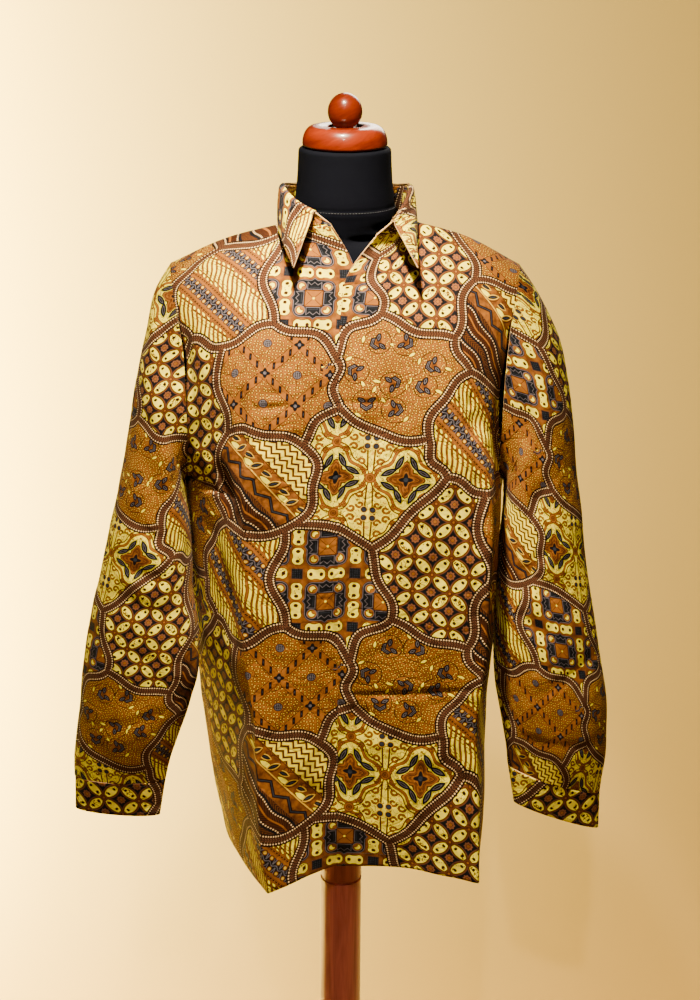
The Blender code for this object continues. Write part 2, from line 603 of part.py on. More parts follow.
def torso():
    """The padded body of the form, lofted through oval sections, with its round neck."""
    made = bmesh.new()
    rings = []
    for height, halfWidth, front, behind, roundness in torsoSections:
        ring = []
        for k in range(torsoSides):
            angle = 2 * math.pi * k / torsoSides
            c, s = math.cos(angle), math.sin(angle)
            x = halfWidth * math.copysign(abs(c) ** (2 / roundness), c)
            depth = behind if s > 0 else front
            y = depth * math.copysign(abs(s) ** (2 / roundness), s)
            ring.append(made.verts.new((x, y, height)))
        rings.append(ring)
    for low, high in zip(rings, rings[1:]):
        for j in range(torsoSides):
            k = (j + 1) % torsoSides
            made.faces.new((low[j], low[k], high[k], high[j]))
    rim = [made.verts.new((v.co.x * neckRim, v.co.y * neckRim, neckTop)) for v in rings[-1]]
    for j in range(torsoSides):
        k = (j + 1) % torsoSides
        made.faces.new((rings[-1][j], rings[-1][k], rim[k], rim[j]))
    made.faces.new(rim)
    floorRing = [made.verts.new((v.co.x * footRim, v.co.y * footRim, torsoBottom)) for v in rings[0]]
    for j in range(torsoSides):
        k = (j + 1) % torsoSides
        made.faces.new((floorRing[j], floorRing[k], rings[0][k], rings[0][j]))
    made.faces.new(list(reversed(floorRing)))
    bmesh.ops.recalc_face_normals(made, faces=made.faces)
    mesh = bpy.data.meshes.new("form_torso")
    made.to_mesh(mesh)
    made.free()
    return addPart("form_torso", mesh, black, 0.9)


def buildForm():
    torso()
    capFoot = neckTop + seamGap
    capTop = capFoot + capThickness
    seatRadius = knobRadius + 0.0012
    waist = capFoot + capLowerEdge
    turned("form_cap", [(0.0, capFoot)]
           + arc((capRadius - capLowerEdge, waist), (capLowerEdge, capLowerEdge), -90, 0, 3)
           + arc((capRadius - capUpperEdge, waist), (capUpperEdge, capTop - waist), 15, 90, 5)
           + [(seatRadius, capTop), (seatRadius - 0.0008, capTop - seatDepth),
              (0.0, capTop - seatDepth)], 40, cherry, 0.25)
    knobFoot = capTop - seatDepth + seamGap
    knobMiddle = knobFoot + knobHalfHeight * math.sin(math.radians(knobCut))
    turned("form_knob", [(0.0, knobFoot)]
           + arc((0.0, knobMiddle), (knobRadius, knobHalfHeight), -knobCut, 90, 9), 28, cherry, 0.25)
    turned("form_pole", [
        (0.0, baseThickness + seamGap), (poleRadius, baseThickness + seamGap),
        (poleRadius, grooveHeight - grooveDepth), (poleRadius - grooveDepth, grooveHeight),
        (poleRadius, grooveHeight + grooveDepth), (poleRadius, torsoBottom - seamGap),
        (0.0, torsoBottom - seamGap)], 32, cherry, 0.35)
    edge = 0.010
    turned("form_base", [(0.0, 0.0), (baseRadius - 0.002, 0.0), (baseRadius, 0.002)]
           + arc((baseRadius - edge, baseThickness - edge), (edge, edge), 0, 90, 4)
           + [(0.0, baseThickness)], 48, cherry, 0.35)


buildForm()
buildShirt()
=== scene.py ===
# A long-sleeved batik shirt on a dress form: the finished cloth, its print, and the turned wood.
import math

import bpy
import numpy as np
from mathutils import Matrix, Vector, kdtree


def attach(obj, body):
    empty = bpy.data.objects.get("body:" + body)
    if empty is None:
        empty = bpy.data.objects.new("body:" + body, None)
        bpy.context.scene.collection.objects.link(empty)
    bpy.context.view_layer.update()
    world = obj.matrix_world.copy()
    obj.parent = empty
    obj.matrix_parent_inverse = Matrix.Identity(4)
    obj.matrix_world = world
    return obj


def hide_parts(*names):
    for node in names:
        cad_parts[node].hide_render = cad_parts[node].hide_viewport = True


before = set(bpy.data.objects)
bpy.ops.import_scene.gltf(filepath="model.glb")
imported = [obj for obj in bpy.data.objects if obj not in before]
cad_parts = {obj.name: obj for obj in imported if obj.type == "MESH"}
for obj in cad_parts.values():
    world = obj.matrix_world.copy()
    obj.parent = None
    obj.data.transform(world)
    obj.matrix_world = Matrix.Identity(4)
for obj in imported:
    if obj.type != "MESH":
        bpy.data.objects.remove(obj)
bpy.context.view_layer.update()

print("frame loaded:", sorted(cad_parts))

# Camera, a little above the shirt and square to it.
view = {"place": (0.0084, -2.282, 1.838), "down": 18.4, "roll": 0.37, "lens": 72.0}


def addCamera():
    data = bpy.data.cameras.new("camera")
    data.lens = view["lens"]
    data.sensor_width = 36.0
    camera = bpy.data.objects.new("camera", data)
    bpy.context.scene.collection.objects.link(camera)
    camera.matrix_world = (Matrix.Translation(view["place"])
                           @ Matrix.Rotation(math.radians(90 - view["down"]), 4, "X")
                           @ Matrix.Rotation(math.radians(view["roll"]), 4, "Z"))
    bpy.context.scene.camera = camera


addCamera()

# Node trees. A value carries its socket, so that a pattern reads as a sum.


class Value:
    def __init__(self, tree, socket):
        self.tree, self.socket = tree, socket

    def sum(self, operation, *others, clamp=False):
        node = self.tree.nodes.new("ShaderNodeMath")
        node.operation = operation
        node.use_clamp = clamp
        plug(self.tree, (self, *others), node.inputs)
        return Value(self.tree, node.outputs[0])

    def __add__(self, other):
        return self.sum("ADD", other)

    def __sub__(self, other):
        return self.sum("SUBTRACT", other)

    def __mul__(self, other):
        return self.sum("MULTIPLY", other)

    def __abs__(self):
        return self.sum("ABSOLUTE")

    def least(self, other):
        return self.sum("MINIMUM", other)

    def most(self, other):
        return self.sum("MAXIMUM", other)

    def wave(self, length, shift=0.0):
        # A sine of this wavelength.
        return self.sum("MULTIPLY_ADD", 2 * math.pi / length, shift).sum("SINE")

    def folded(self, pitch):
        # Distance to the nearest multiple of twice the pitch.
        return self.sum("PINGPONG", pitch)

    def repeated(self, pitch):
        # Runs from minus half a pitch to plus half a pitch, over and over.
        return self.sum("WRAP", pitch / 2, -pitch / 2)

    def below(self, edge, soft=0.35):
        # 1 below the edge and 0 above it.
        return self.sum("MULTIPLY_ADD", -1 / soft, edge / soft + 0.5, clamp=True)

    def above(self, edge, soft=0.35):
        return self.sum("MULTIPLY_ADD", 1 / soft, 0.5 - edge / soft, clamp=True)

    def within(self, low, high, soft=0.35):
        return abs(self - (low + high) / 2).below((high - low) / 2, soft)


def plug(tree, values, slots):
    # Links each value to its socket, or sets the socket where a plain number or colour is given.
    for given, slot in zip(values, slots):
        if isinstance(given, Value):
            tree.links.new(given.socket, slot)
        else:
            slot.default_value = given


def reach(x, y, width=1.0, height=1.0):
    # Distance from the centre, in units of an oval's half axes.
    across, up = x * (1 / width), y * (1 / height)
    return (across * across + up * up).sum("SQRT")


def lens(x, y, halfLength, halfWidth):
    # Distance outside a pointed leaf that lies along x.
    radius = (halfLength ** 2 + halfWidth ** 2) / (2 * halfWidth)
    return reach(x, abs(y) + (radius - halfWidth)) - radius


def turnedBy(x, y, degrees):
    c, s = math.cos(math.radians(degrees)), math.sin(math.radians(degrees))
    return x * c + y * s, y * c - x * s


# A Mix node has sockets for numbers, vectors and colours: these are the colour ones.
colourMix = {"cover": 0, "ground": 6, "ink": 7, "result": 2}


def mixed(tree, ground, ink, cover):
    # The ink laid over the ground where cover is 1.
    node = tree.nodes.new("ShaderNodeMix")
    node.data_type = "RGBA"
    plug(tree, (cover, ground, ink), [node.inputs[colourMix[label]] for label in ("cover", "ground", "ink")])
    return Value(tree, node.outputs[colourMix["result"]])


def startGroup(name, inputs, outputs):
    # A node group, its inputs as values, and a call that fills its outputs.
    tree = bpy.data.node_groups.new(name, "ShaderNodeTree")
    for label, kind, start in inputs:
        made = tree.interface.new_socket(label, in_out="INPUT", socket_type="NodeSocket" + kind)
        if start is not None:
            made.default_value = start
    for label, kind in outputs:
        tree.interface.new_socket(label, in_out="OUTPUT", socket_type="NodeSocket" + kind)
    entry, end = tree.nodes.new("NodeGroupInput"), tree.nodes.new("NodeGroupOutput")
    given = {label: Value(tree, entry.outputs[label]) for label, _, _ in inputs}

    def fill(**results):
        for label, value in results.items():
            tree.links.new(value.socket, end.inputs[label.replace("_", " ")])
        return tree

    return tree, given, fill


def placeGroup(tree, group, **values):
    # The group in another tree, with its inputs set and its outputs as values.
    node = tree.nodes.new("ShaderNodeGroup")
    node.node_tree = group
    plug(tree, values.values(), [node.inputs[label.replace("_", " ")] for label in values])
    return {socket.name: Value(tree, socket) for socket in node.outputs}


def split(tree, vector):
    node = tree.nodes.new("ShaderNodeSeparateXYZ")
    tree.links.new(vector.socket, node.inputs[0])
    return [Value(tree, socket) for socket in node.outputs]


def join(tree, x, y, z=0.0):
    node = tree.nodes.new("ShaderNodeCombineXYZ")
    plug(tree, (x, y, z), node.inputs)
    return Value(tree, node.outputs[0])


def noise(tree, vector, scale, detail=2.0, roughness=0.5, distortion=0.0):
    node = tree.nodes.new("ShaderNodeTexNoise")
    labels = ("Vector", "Scale", "Detail", "Roughness", "Distortion")
    plug(tree, (vector, scale, detail, roughness, distortion), [node.inputs[label] for label in labels])
    return Value(tree, node.outputs["Fac"])


def spots(tree, vector, pitch, spread):
    # Distance from the nearest of many scattered points, in the vector's units.
    node = tree.nodes.new("ShaderNodeTexVoronoi")
    node.voronoi_dimensions = "2D"
    slots = [node.inputs[label] for label in ("Vector", "Scale", "Randomness")]
    plug(tree, (vector, 1 / pitch, spread), slots)
    return Value(tree, node.outputs["Distance"]) * pitch


def newMaterial(name, **settings):
    made = bpy.data.materials.new(name)
    made.use_nodes = True
    shader = made.node_tree.nodes["Principled BSDF"]
    for label, value in settings.items():
        shader.inputs[label.replace("_", " ")].default_value = value
    return made, made.node_tree, shader


def feed(tree, value, shader, label):
    tree.links.new(value.socket, shader.inputs[label])


def bump(tree, height, shader, strength, distance, finer=None):
    # Relief on the surface, with a finer one laid over it where it is given.
    laid = None
    for layer, weight, depth in ((height, strength, distance), *([finer] if finer else [])):
        node = tree.nodes.new("ShaderNodeBump")
        node.inputs["Strength"].default_value = weight
        node.inputs["Distance"].default_value = depth
        tree.links.new(layer.socket, node.inputs["Height"])
        if laid:
            tree.links.new(laid, node.inputs["Normal"])
        laid = node.outputs[0]
    tree.links.new(laid, shader.inputs["Normal"])


def mapOf(tree, name):
    node = tree.nodes.new("ShaderNodeUVMap")
    node.uv_map = name
    return Value(tree, node.outputs[0])


def objectPlace(tree):
    return Value(tree, tree.nodes.new("ShaderNodeTexCoord").outputs["Object"])


def newPiece(name, points, faces, *materials, edges=()):
    mesh = bpy.data.meshes.new(name)
    mesh.from_pydata(points, edges, faces)
    for material in materials:
        mesh.materials.append(material)
    made = bpy.data.objects.new(name, mesh)
    bpy.context.scene.collection.objects.link(made)
    return made


halfRoot = math.sqrt(0.5)

# The dyes of the print, and its motifs. Each motif's map is in millimetres from its own centre.
dyes = {name: (*tint, 1.0) for name, tint in {
    "cream": (0.94, 0.78, 0.020), "butter": (0.62, 0.36, 0.030), "orange": (0.240, 0.080, 0.010),
    "tan": (0.105, 0.032, 0.0060), "rust": (0.058, 0.015, 0.003), "brown": (0.022, 0.0070, 0.0025),
    "bark": (0.008, 0.0034, 0.0022), "navy": (0.0045, 0.0046, 0.0064), "slate": (0.022, 0.025, 0.038),
    "lilac": (0.105, 0.090, 0.110), "mauve": (0.115, 0.042, 0.018), "pearl": (0.80, 0.52, 0.26),
    "rose": (0.19, 0.068, 0.028)}.items()}


def painted(tree, ground, *layers):
    # Inks laid over each other on a ground, each with a value that says where it lies.
    found = dyes[ground]
    for ink, cover in layers:
        found = mixed(tree, found, dyes[ink], cover)
    return found


def motifGroup(name, draw):
    # The draw function gives the ground's ink, and then pairs of an ink and where it lies.
    tree, given, fill = startGroup(name, [("Place", "Vector", None)], [("Colour", "Color")])
    x, y, _ = split(tree, given["Place"])
    return fill(Colour=painted(tree, *draw(tree, given["Place"], x, y)))


def ringDots(tree, place, pitch=3.9):
    # Wax dots, each with a thin dark line round it.
    dots = spots(tree, place, pitch, 0.55)
    return ("brown", dots.within(0.95, 1.6, 0.5)), ("butter", dots.below(0.80, 0.7))


def kawung(tree, place, x, y):
    # Four leaves meet at each crossing and leave dark hollows with a rosette.
    pitch = 21.6
    half = pitch / math.sqrt(2)
    a, b = x.folded(pitch), y.folded(pitch)
    along, side = (a + b) * halfRoot - half, abs(a - b) * halfRoot
    leaf = lens(along, side, 12.6, 5.5).most(abs(along) - 10.2)
    shade = lens(along, side, 14.8, 7.3)
    node, dots = reach(abs(along) - half, side), reach(abs(along) - 5.4, side - 0.5)
    wisp = abs(noise(tree, place, 0.17, 1.0) - 0.5).below(0.030, 0.02)
    flame = wisp * noise(tree, place, 0.035, 0.0).above(0.5, 0.02)
    eye = reach(along, side - half)
    petals = (side - half).sum("ARCTAN2", along).sum("MULTIPLY", 8.0).sum("COSINE") * 0.55
    return ("navy", ("mauve", shade.below(0.9)), ("tan", shade.below(0.0)), ("rust", leaf.within(-0.2, 0.6)),
            ("cream", leaf.below(-0.1)), ("tan", flame * leaf.below(-0.9)), ("rust", dots.below(1.75, 0.5)),
            ("bark", dots.below(1.15, 0.5)), ("rust", node.below(2.6)), ("orange", node.below(1.5)),
            ("rose", (eye - petals).below(4.9, 0.6)), ("rust", (eye - petals * 0.6).within(1.9, 2.6)),
            ("orange", eye.below(1.9)))


def ceplok(tree, place, x, y):
    # Square medallions with crowns, between cream bones that meet at dark squares.
    half = 34.0
    a, b = x.folded(half), y.folded(half)
    far, near = a.most(b), a.least(b)
    gap = far * -1.0 + half
    edge = reach((a - 15.0).most(0.0), (b - 15.0).most(0.0)) - (near * -1.0 + 3.6).most(0.0) * 0.8
    run = abs(near - 12.0)
    bone = reach((run - 6.4).most(0.0), (gap - 2.2 + run.wave(9.0, 0.9) * 0.5).most(0.0)) - 4.0
    square = (near * -1.0 + half).most(gap)
    crown = near.below(8.4) * far.within(11.4, 22.5)
    zigzag = abs(far - 17.6 - abs(near - 4.0) * 0.9)
    pocket, notch = reach(a - 15.4, b - 15.4), reach(a - 12.6, b - 12.6)
    middle = far.below(10.8)
    crumbs = spots(tree, place, 5.5, 0.9).below(0.9) * noise(tree, place, 0.05).above(0.56, 0.02)
    return ("tan", ("orange", noise(tree, place, 0.09).above(0.5, 0.3)), ("rust", bone.below(0.5)),
            ("cream", bone.below(-0.2)), ("tan", crumbs * bone.below(-0.6)),
            ("rust", reach(gap - 0.4, abs(run - 6.1)).below(2.1)),
            ("brown", reach(gap - 0.4, abs(run - 6.1)).below(1.2)),
            ("mauve", square.below(7.0)), ("navy", square.below(6.2)),
            ("slate", spots(tree, place, 2.6, 0.2).below(0.75) * square.below(5.4)),
            ("rust", edge.below(9.9)), ("lilac", edge.below(9.1)), ("navy", edge.below(8.2)),
            ("lilac", crown * abs(far - 11.9).below(0.4)),
            ("slate", crown * abs(far - 14.3).below(0.3) * near.below(6.0)),
            ("lilac", crown * zigzag.below(0.45)),
            ("lilac", abs(near - 8.1).below(0.38) * far.within(11.4, 21.2)),
            ("lilac", pocket.below(6.3)), ("orange", pocket.below(5.5)),
            ("rust", pocket.below(4.3) * notch.above(2.6)), ("cream", pocket.below(3.5) * notch.above(3.3)),
            ("orange", middle), ("rust", abs(a - b).below(0.5) * middle), ("rust", far.within(9.9, 10.8)),
            ("cream", far.below(1.2)))


def truntum(tree, place, x, y):
    # Dotted squares set on their corners, with discs inside and small flowers between.
    pitch = 37.5
    a, b = x.folded(pitch), y.folded(pitch)
    out, along = (a + b - pitch) * halfRoot, (a - b) * halfRoot
    end = abs(along) - pitch * halfRoot
    wide = abs(out) + along.wave(9.0) * 0.25 - (abs(end) * 0.24).least(2.4)
    lean = (out + along.repeated(12.6)) * halfRoot
    tall = (out - along.repeated(12.6)) * halfRoot
    dash = (abs(lean) * 2.8).most(abs(tall + lean * 0.3))
    disc = reach(a, b).least(reach(a - pitch, b - pitch))
    ray = abs(a.least(b)).below(0.45) * disc.within(6.5, 13.0)
    petalX, petalY = (end + out) * halfRoot, (end - out) * halfRoot
    flower = reach(petalX, petalY, 6.4, 2.8).least(reach(petalX, petalY, 2.8, 6.4))
    return ("orange", *ringDots(tree, place), ("brown", wide.below(2.9)), ("orange", wide.below(2.2)),
            ("rust", dash.below(4.7, 0.6)), ("bark", dash.below(4.1, 0.6)), ("slate", dash.below(1.5, 0.6)),
            ("rust", ray), ("orange", disc.below(6.4)), ("bark", disc.below(5.5)), ("lilac", disc.below(4.6)),
            ("navy", spots(tree, place, 2.2, 0.2).below(0.8) * disc.below(4.2)),
            ("orange", flower.below(1.3, 0.2)), ("navy", flower.below(1.0, 0.14)),
            ("lilac", reach(petalX, petalY).below(1.9)))


def scroll(tree, place, x, y):
    # Tendrils curl round clusters of three leaves, on a ground of fine dots.
    away, turn = reach(x, y), y.sum("ARCTAN2", x)
    ring = away - turn * 0.8
    bud = lens(*turnedBy(x - 15.5, y + 9.0, -35), 4.6, 1.7).least(
        lens(*turnedBy(x + 15.0, y - 9.5, 60), 4.2, 1.6))
    hook = (abs(x * 0.9 - abs(y) * 0.62 + 7.4) - 1.9).most(abs(y) - 6.6)
    leaf = hook.least(lens(*turnedBy(x - 2.4, abs(y) - 5.8, 62), 4.4, 2.2))
    return ("orange", *ringDots(tree, place, 3.7),
            ("brown", abs(ring - 15.0).below(0.5, 0.5) * away.below(17.6)), ("brown", bud.below(0.6)),
            ("cream", bud.below(0.0)), ("orange", away.below(8.0)), ("tan", away.below(3.6, 1.5)),
            ("brown", leaf.below(1.1)), ("navy", leaf.below(0.6)),
            ("lilac", abs(leaf + 1.0).below(0.35, 0.4)))


def parang(tree, place, x, y):
    # Slanting stripes: a dark strip with pale branches, between rows of upright strokes.
    pitch = 62.0
    across, along = (x + y) * halfRoot, (x - y) * halfRoot
    off = across.repeated(pitch)
    gap = abs(off)
    row = abs(gap * -1.0 + 31.0)
    sway = x + y.wave(34.0) * 0.8
    stroke = abs(sway.repeated(6.0))
    long = row - 10.5 - (sway.sum("ADD", 3.0).repeated(23.0) * 0.16)
    drop = reach(sway.repeated(6.0), abs(long) - 3.6)
    pale = (stroke * 2.2 - 3.4).most(long)
    seedAlong = (along + off.sum("SIGN") * 2.75).repeated(11.0)
    seed = reach(seedAlong, gap - 5.4)
    twig = abs(abs((along + 5.5 + off.sum("SIGN") * 2.75).repeated(11.0)) * 1.0 - gap * 0.22)
    spine = abs(off + along.wave(11.0) * 1.4)
    return ("orange", ("tan", noise(tree, place, 0.12).above(0.5, 0.3)), ("rust", pale.below(1.5, 0.6)),
            ("cream", pale.below(0.1, 0.6)), ("rust", drop.below(2.2)), ("cream", drop.below(1.6, 0.5)),
            ("orange", gap.below(15.5)), ("tan", gap.within(14.0, 14.6)), ("tan", gap.within(10.9, 11.5)),
            ("bark", gap.within(12.0, 13.4) * along.repeated(4.4).above(-0.9)),
            ("navy", (gap - along.wave(5.5) * 0.5).below(7.6)), ("rust", seed.below(3.3)),
            ("tan", seed.below(2.7)), ("butter", seed.below(1.8, 0.8)), ("lilac", spine.below(0.6, 0.5)),
            ("lilac", twig.below(0.55, 0.5) * gap.within(0.6, 7.4)))


def plume(tree, place, x, y):
    # Slanting bands: feathers on navy, a stair, leaf points and pale zigzags.
    across, along = (x + y) * halfRoot, (x - y) * halfRoot
    rib = (across + 16.0 + along.wave(46.0) * 2.0).repeated(33.0)
    vane = abs(rib) + across.above(0.6) * 99.0
    barb = (along + vane * 1.2).repeated(3.4)
    pearl = reach(along.repeated(3.4), vane - 8.4)
    stair = abs(across - 9.5 - (along.folded(14.4) - 7.2) * 0.66)
    zone = across.within(1.2, 18.4)
    step = along.repeated(30.0)
    blob = lens(*turnedBy(step + 4.0, across - 25.0, 8), 9.0, 3.0)
    dark = lens(*turnedBy(step - 4.5, across - 29.0, 62), 6.6, 2.0).least(
        lens(*turnedBy(step + 11.0, across - 31.0, 18), 6.0, 1.9))
    ring = reach(step - 1.0, across - 31.0)
    curl = reach(step + 11.5, across - 36.5)
    far = across.above(41.0, 0.6)
    zig = (across - (along.folded(6.2) - 3.1) * 0.95 + along.wave(41.0)).repeated(8.0)
    return ("orange", ("tan", noise(tree, place, 0.12).above(0.5, 0.3)), ("navy", across.below(0.6)),
            ("mauve", across.within(0.2, 1.0)), ("rust", vane.below(7.6)),
            ("bark", abs(barb).below(0.75, 0.4) * vane.within(1.3, 7.2)), ("orange", vane.below(1.0)),
            ("bark", vane.within(7.0, 9.9)), ("pearl", pearl.below(0.95, 0.4)),
            ("tan", vane.within(12.4, 16.5)),
            ("bark", abs(barb).below(0.8, 0.4) * vane.within(12.4, 16.5)),
            ("bark", stair.below(2.4) * zone), ("slate", stair.below(0.7, 0.6) * zone),
            ("rust", across.within(18.6, 19.2)), ("butter", across.within(19.8, 21.4)),
            ("rust", abs(ring - 9.5).below(0.5) * across.above(21.0)), ("rust", curl.within(2.2, 3.0)),
            ("rust", curl.within(4.6, 5.3)), ("brown", blob.below(0.7)), ("cream", blob.below(0.0)),
            ("butter", dark.below(1.6) * across.above(21.4)), ("navy", dark.below(0.4)),
            ("slate", dark.below(-1.0)),
            ("rust", across.within(39.6, 40.4)), ("butter", far), ("tan", abs(zig).below(1.5) * far),
            ("brown", abs(zig).below(0.6) * far), ("cream", abs(zig).above(2.1) * far))


def starFlower(tree, place, x, y):
    # Star flowers among pale scrolls, with small hubs half way between them.
    halfX, halfY = 41.0, 44.0
    a, b = x.folded(halfX), y.folded(halfY)
    hubs = reach(a - halfX, b).least(reach(a, b - halfY))
    knot = reach(abs(a - halfX) - 5.0, abs(b - halfY) - 5.0)
    vine = (a * (1 / halfX) + b * (1 / halfY)) * 30.0 + (a - b * 0.93).wave(41.0, 1.57) * 2.2
    stem = abs(a - halfX).least(abs(b - halfY) + 60.0)
    strokes = abs(stem - 3.8 - (b - 22.0) * 0.04).most((abs(b - 22.0) - 11.0) * 0.5)
    # Spiral curls: across, up, size.
    curls = ((21.0, 38.0, 4.8), (30.5, 19.5, 4.6), (31.0, 33.0, 4.6), (12.0, 33.5, 3.8), (33.0, 8.0, 3.8))
    scrolls = None
    for u, v, size in curls:
        ring, turn = reach(a - u, b - v), (b - v).sum("ARCTAN2", (a - u) * 1.0)
        line = abs(ring - size * 0.62 - turn * (size * 0.12)) - 0.62
        scrolls = line if scrolls is None else scrolls.least(line)
    star = lens(a - 9.0, b, 12.5, 7.4).least(lens(b - 9.0, a, 12.5, 7.4)).least(reach(a, b) - 11.0)
    leaf = lens(*turnedBy(a - 20.0, b - 8.4, -27), 10.2, 3.5).least(
        lens(*turnedBy(a - 8.4, b - 20.0, 117), 10.2, 3.5))
    petal = reach(a, b, 8.4, 3.0).least(reach(a, b, 3.0, 8.4))
    speck = noise(tree, place, 0.11, 2.0)
    return ("cream", ("tan", abs(speck - 0.5).below(0.012, 0.012)), ("butter", speck.above(0.66, 0.02)),
            ("rust", abs(vine - 33.6).below(0.85)), ("tan", abs(vine - 33.6).below(0.4)),
            ("rust", vine.within(26.4, 30.6)), ("orange", vine.within(27.1, 29.9)),
            ("rust", scrolls.below(0.8)), ("orange", scrolls.below(0.0, 0.5)), ("rust", strokes.below(1.0)),
            ("tan", strokes.below(0.4)), ("rust", hubs.below(6.4)), ("orange", hubs.below(5.7)),
            ("brown", hubs.within(2.6, 3.3)), ("tan", hubs.below(2.0)), ("butter", knot.below(4.3)),
            ("brown", knot.below(3.5)), ("slate", knot.below(2.5, 0.9)), ("brown", star.below(1.5)),
            ("tan", star.below(0.6)), ("orange", star.within(-1.6, 0.0)), ("orange", star.within(-5.2, -3.2)),
            ("rust", abs(star + 4.0).below(0.7) * speck.above(0.45, 0.1)), ("brown", leaf.below(1.3)),
            ("cream", leaf.below(0.9)), ("navy", leaf.below(0.4)), ("lilac", abs(leaf + 2.2).below(0.3, 0.4)),
            ("orange", petal.below(1.25, 0.15)), ("navy", petal.below(1.0, 0.14)),
            ("slate", reach(a, b).below(2.6, 0.8)))


ribbon = {"half width": 7.3, "pearl row": 4.5, "pearl radius": 0.95, "pitch": 3.2, "middle": 2.8}


def pearlBand():
    # The winding borders: two rows of pearls, with a ribbon of slanting ticks between them.
    tree, given, fill = startGroup("pearl border", [("Place", "Vector", None)],
                                   [("Colour", "Color"), ("Cover", "Float")])
    along, across, _ = split(tree, given["Place"])
    gap = abs(across)
    tick = (along + gap * 0.9).repeated(ribbon["pitch"])
    pearl = reach(along.repeated(ribbon["pitch"]), gap - ribbon["pearl row"])
    found = painted(tree, "bark", ("mauve", gap.below(ribbon["middle"], 0.4)),
                    ("bark", abs(tick).below(0.75, 0.4) * gap.within(0.7, 3.1)), ("bark", gap.below(0.35)),
                    ("pearl", pearl.below(ribbon["pearl radius"], 0.4)))
    return fill(Colour=found, Cover=gap.below(ribbon["half width"]))


def dyedCotton():
    # Worn wrinkles and thread in metres, uneven dye and soft wear, and painted shade along thin pinched
    # wrinkles, shared by all the printed cloth.
    tree, given, fill = startGroup("dyed cotton", [("Place", "Vector", None), ("Colour", "Color", None),
                                                   ("Fade", "Float", 0.30)],
                                   [("Colour", "Color"), ("Roughness", "Float"), ("Height", "Float"),
                                    ("Thread", "Float")])
    place = given["Place"]
    u, v, _ = split(tree, place)
    uneven, fine = noise(tree, place, 14.0, 3.0), noise(tree, place, 420.0, 2.0)
    soft = noise(tree, place, 16.0, 1.0, 0.5, 0.6)
    drape = noise(tree, join(tree, u * 1.6, v * 0.7), 26.0, 2.0, 0.5, 1.2)
    # Thin pinched wrinkles: a slight dent in the height, and painted shade that darkens the colour along
    # them.
    wrinkleAndPaintedShade = abs(noise(tree, place, 34.0, 1.0, 0.5, 0.8) - 0.5).below(0.05, 0.10)
    shade = tree.nodes.new("ShaderNodeHueSaturation")
    tree.links.new(given["Colour"].socket, shade.inputs["Color"])
    # Painted shade: the colour is a tenth darker along the pinched wrinkles.
    value = (uneven - 0.5) * given["Fade"] + (fine - 0.5) * 0.22 - wrinkleAndPaintedShade * 0.10 + 1.0
    tree.links.new(value.socket, shade.inputs["Value"])
    thread = (u * 9000.0).sum("SINE") * (v * 9000.0).sum("SINE") * 0.5 + fine
    return fill(Colour=Value(tree, shade.outputs[0]), Roughness=(uneven * 0.12) + 0.66,
                Height=soft * 0.0042 + drape * 0.0026 - wrinkleAndPaintedShade * 0.00035, Thread=thread)


def printedCloth(name, motif, band, cotton):
    made, tree, shader = newMaterial(name, Sheen_Weight=0.02, Sheen_Roughness=0.5, Specular_IOR_Level=0.06)
    ground = placeGroup(tree, motif, Place=mapOf(tree, "motif"))["Colour"]
    border = placeGroup(tree, band, Place=mapOf(tree, "border"))
    printed = mixed(tree, ground, border["Colour"], border["Cover"])
    finish = placeGroup(tree, cotton, Place=mapOf(tree, "cloth"), Colour=printed)
    feed(tree, finish["Colour"], shader, "Base Color")
    feed(tree, finish["Roughness"], shader, "Roughness")
    bump(tree, finish["Height"], shader, 1.0, 1.0, (finish["Thread"], 0.35, 0.0002))
    return made


def makePrint():
    band, cotton = pearlBand(), dyedCotton()
    motifs = {"K": ("kawung leaves", kawung), "C": ("ceplok medallions", ceplok),
              "D": ("dotted squares", truntum), "S": ("curling tendrils", scroll),
              "P": ("slanting stripes", parang), "Z": ("feathers and stairs", plume),
              "Y": ("star flowers", starFlower)}
    return {key: printedCloth("batik " + name, motifGroup(name, draw), band, cotton)
            for key, (name, draw) in motifs.items()}


printed = makePrint()
print("print drawn:", len(printed), "motifs")

# The print's chart, in millimetres: one repeat, with the places where three borders meet, and
# the borders between them. A border bends by its bow, sway and ripple: half, whole and one and a
# half waves. A and R after a name mean the same place one repeat across or down.
repeat = {"A": (297, 187), "R": (17, -375)}
meetings = {
    "1": (-83, 711), "2": (-8, 662), "3": (41, 717), "4": (129, 686), "5": (155, 766), "6": (-148, 686),
    "8": (-46, 560), "9": (-4, 603), "10": (99, 565), "11": (121, 518), "12": (150, 645), "13": (-67, 457),
    "14": (-55, 464), "15": (35, 430)}
borders = (
    # from, to, bow, sway, ripple, motif on the left, motif on the right
    ("1", "2", 12, -5, -2, "C", "D"), ("2", "3", 12, 3, -2, "C", "S"), ("15", "3R", 0, -4, 2, "KR", "CR"),
    ("3", "4", -7, 0, 2, "K", "S"), ("4", "5", 5, -5, -1, "K", "ZA"), ("5", "6A", 8, -5, -2, "K", "DA"),
    ("5", "8A", 6, -1, 3, "DA", "ZA"), ("1", "6", 1, -4, 0, "D", "P"), ("8", "9", 9, -1, -1, "D", "Y"),
    ("9", "2", 4, 4, -2, "D", "S"), ("9", "10", -15, 1, -2, "S", "Y"), ("10", "12", 13, 2, 3, "S", "PAR"),
    ("12", "4", 5, -2, 0, "S", "ZA"), ("10", "11", -7, -1, 2, "PAR", "Y"), ("11", "15", 2, -1, 2, "KR", "Y"),
    ("11", "6AR", 0, 3, 0, "PAR", "KR"), ("13", "14", 0, 0, 0, "Z", "CR"), ("14", "15", 9, 1, 0, "Y", "CR"),
    ("14", "8", -21, 1, -5, "Z", "Y"), ("13", "1R", -13, 1, 5, "CR", "PR"),
    ("12", "13A", -9, 2, 0, "ZA", "PAR"))
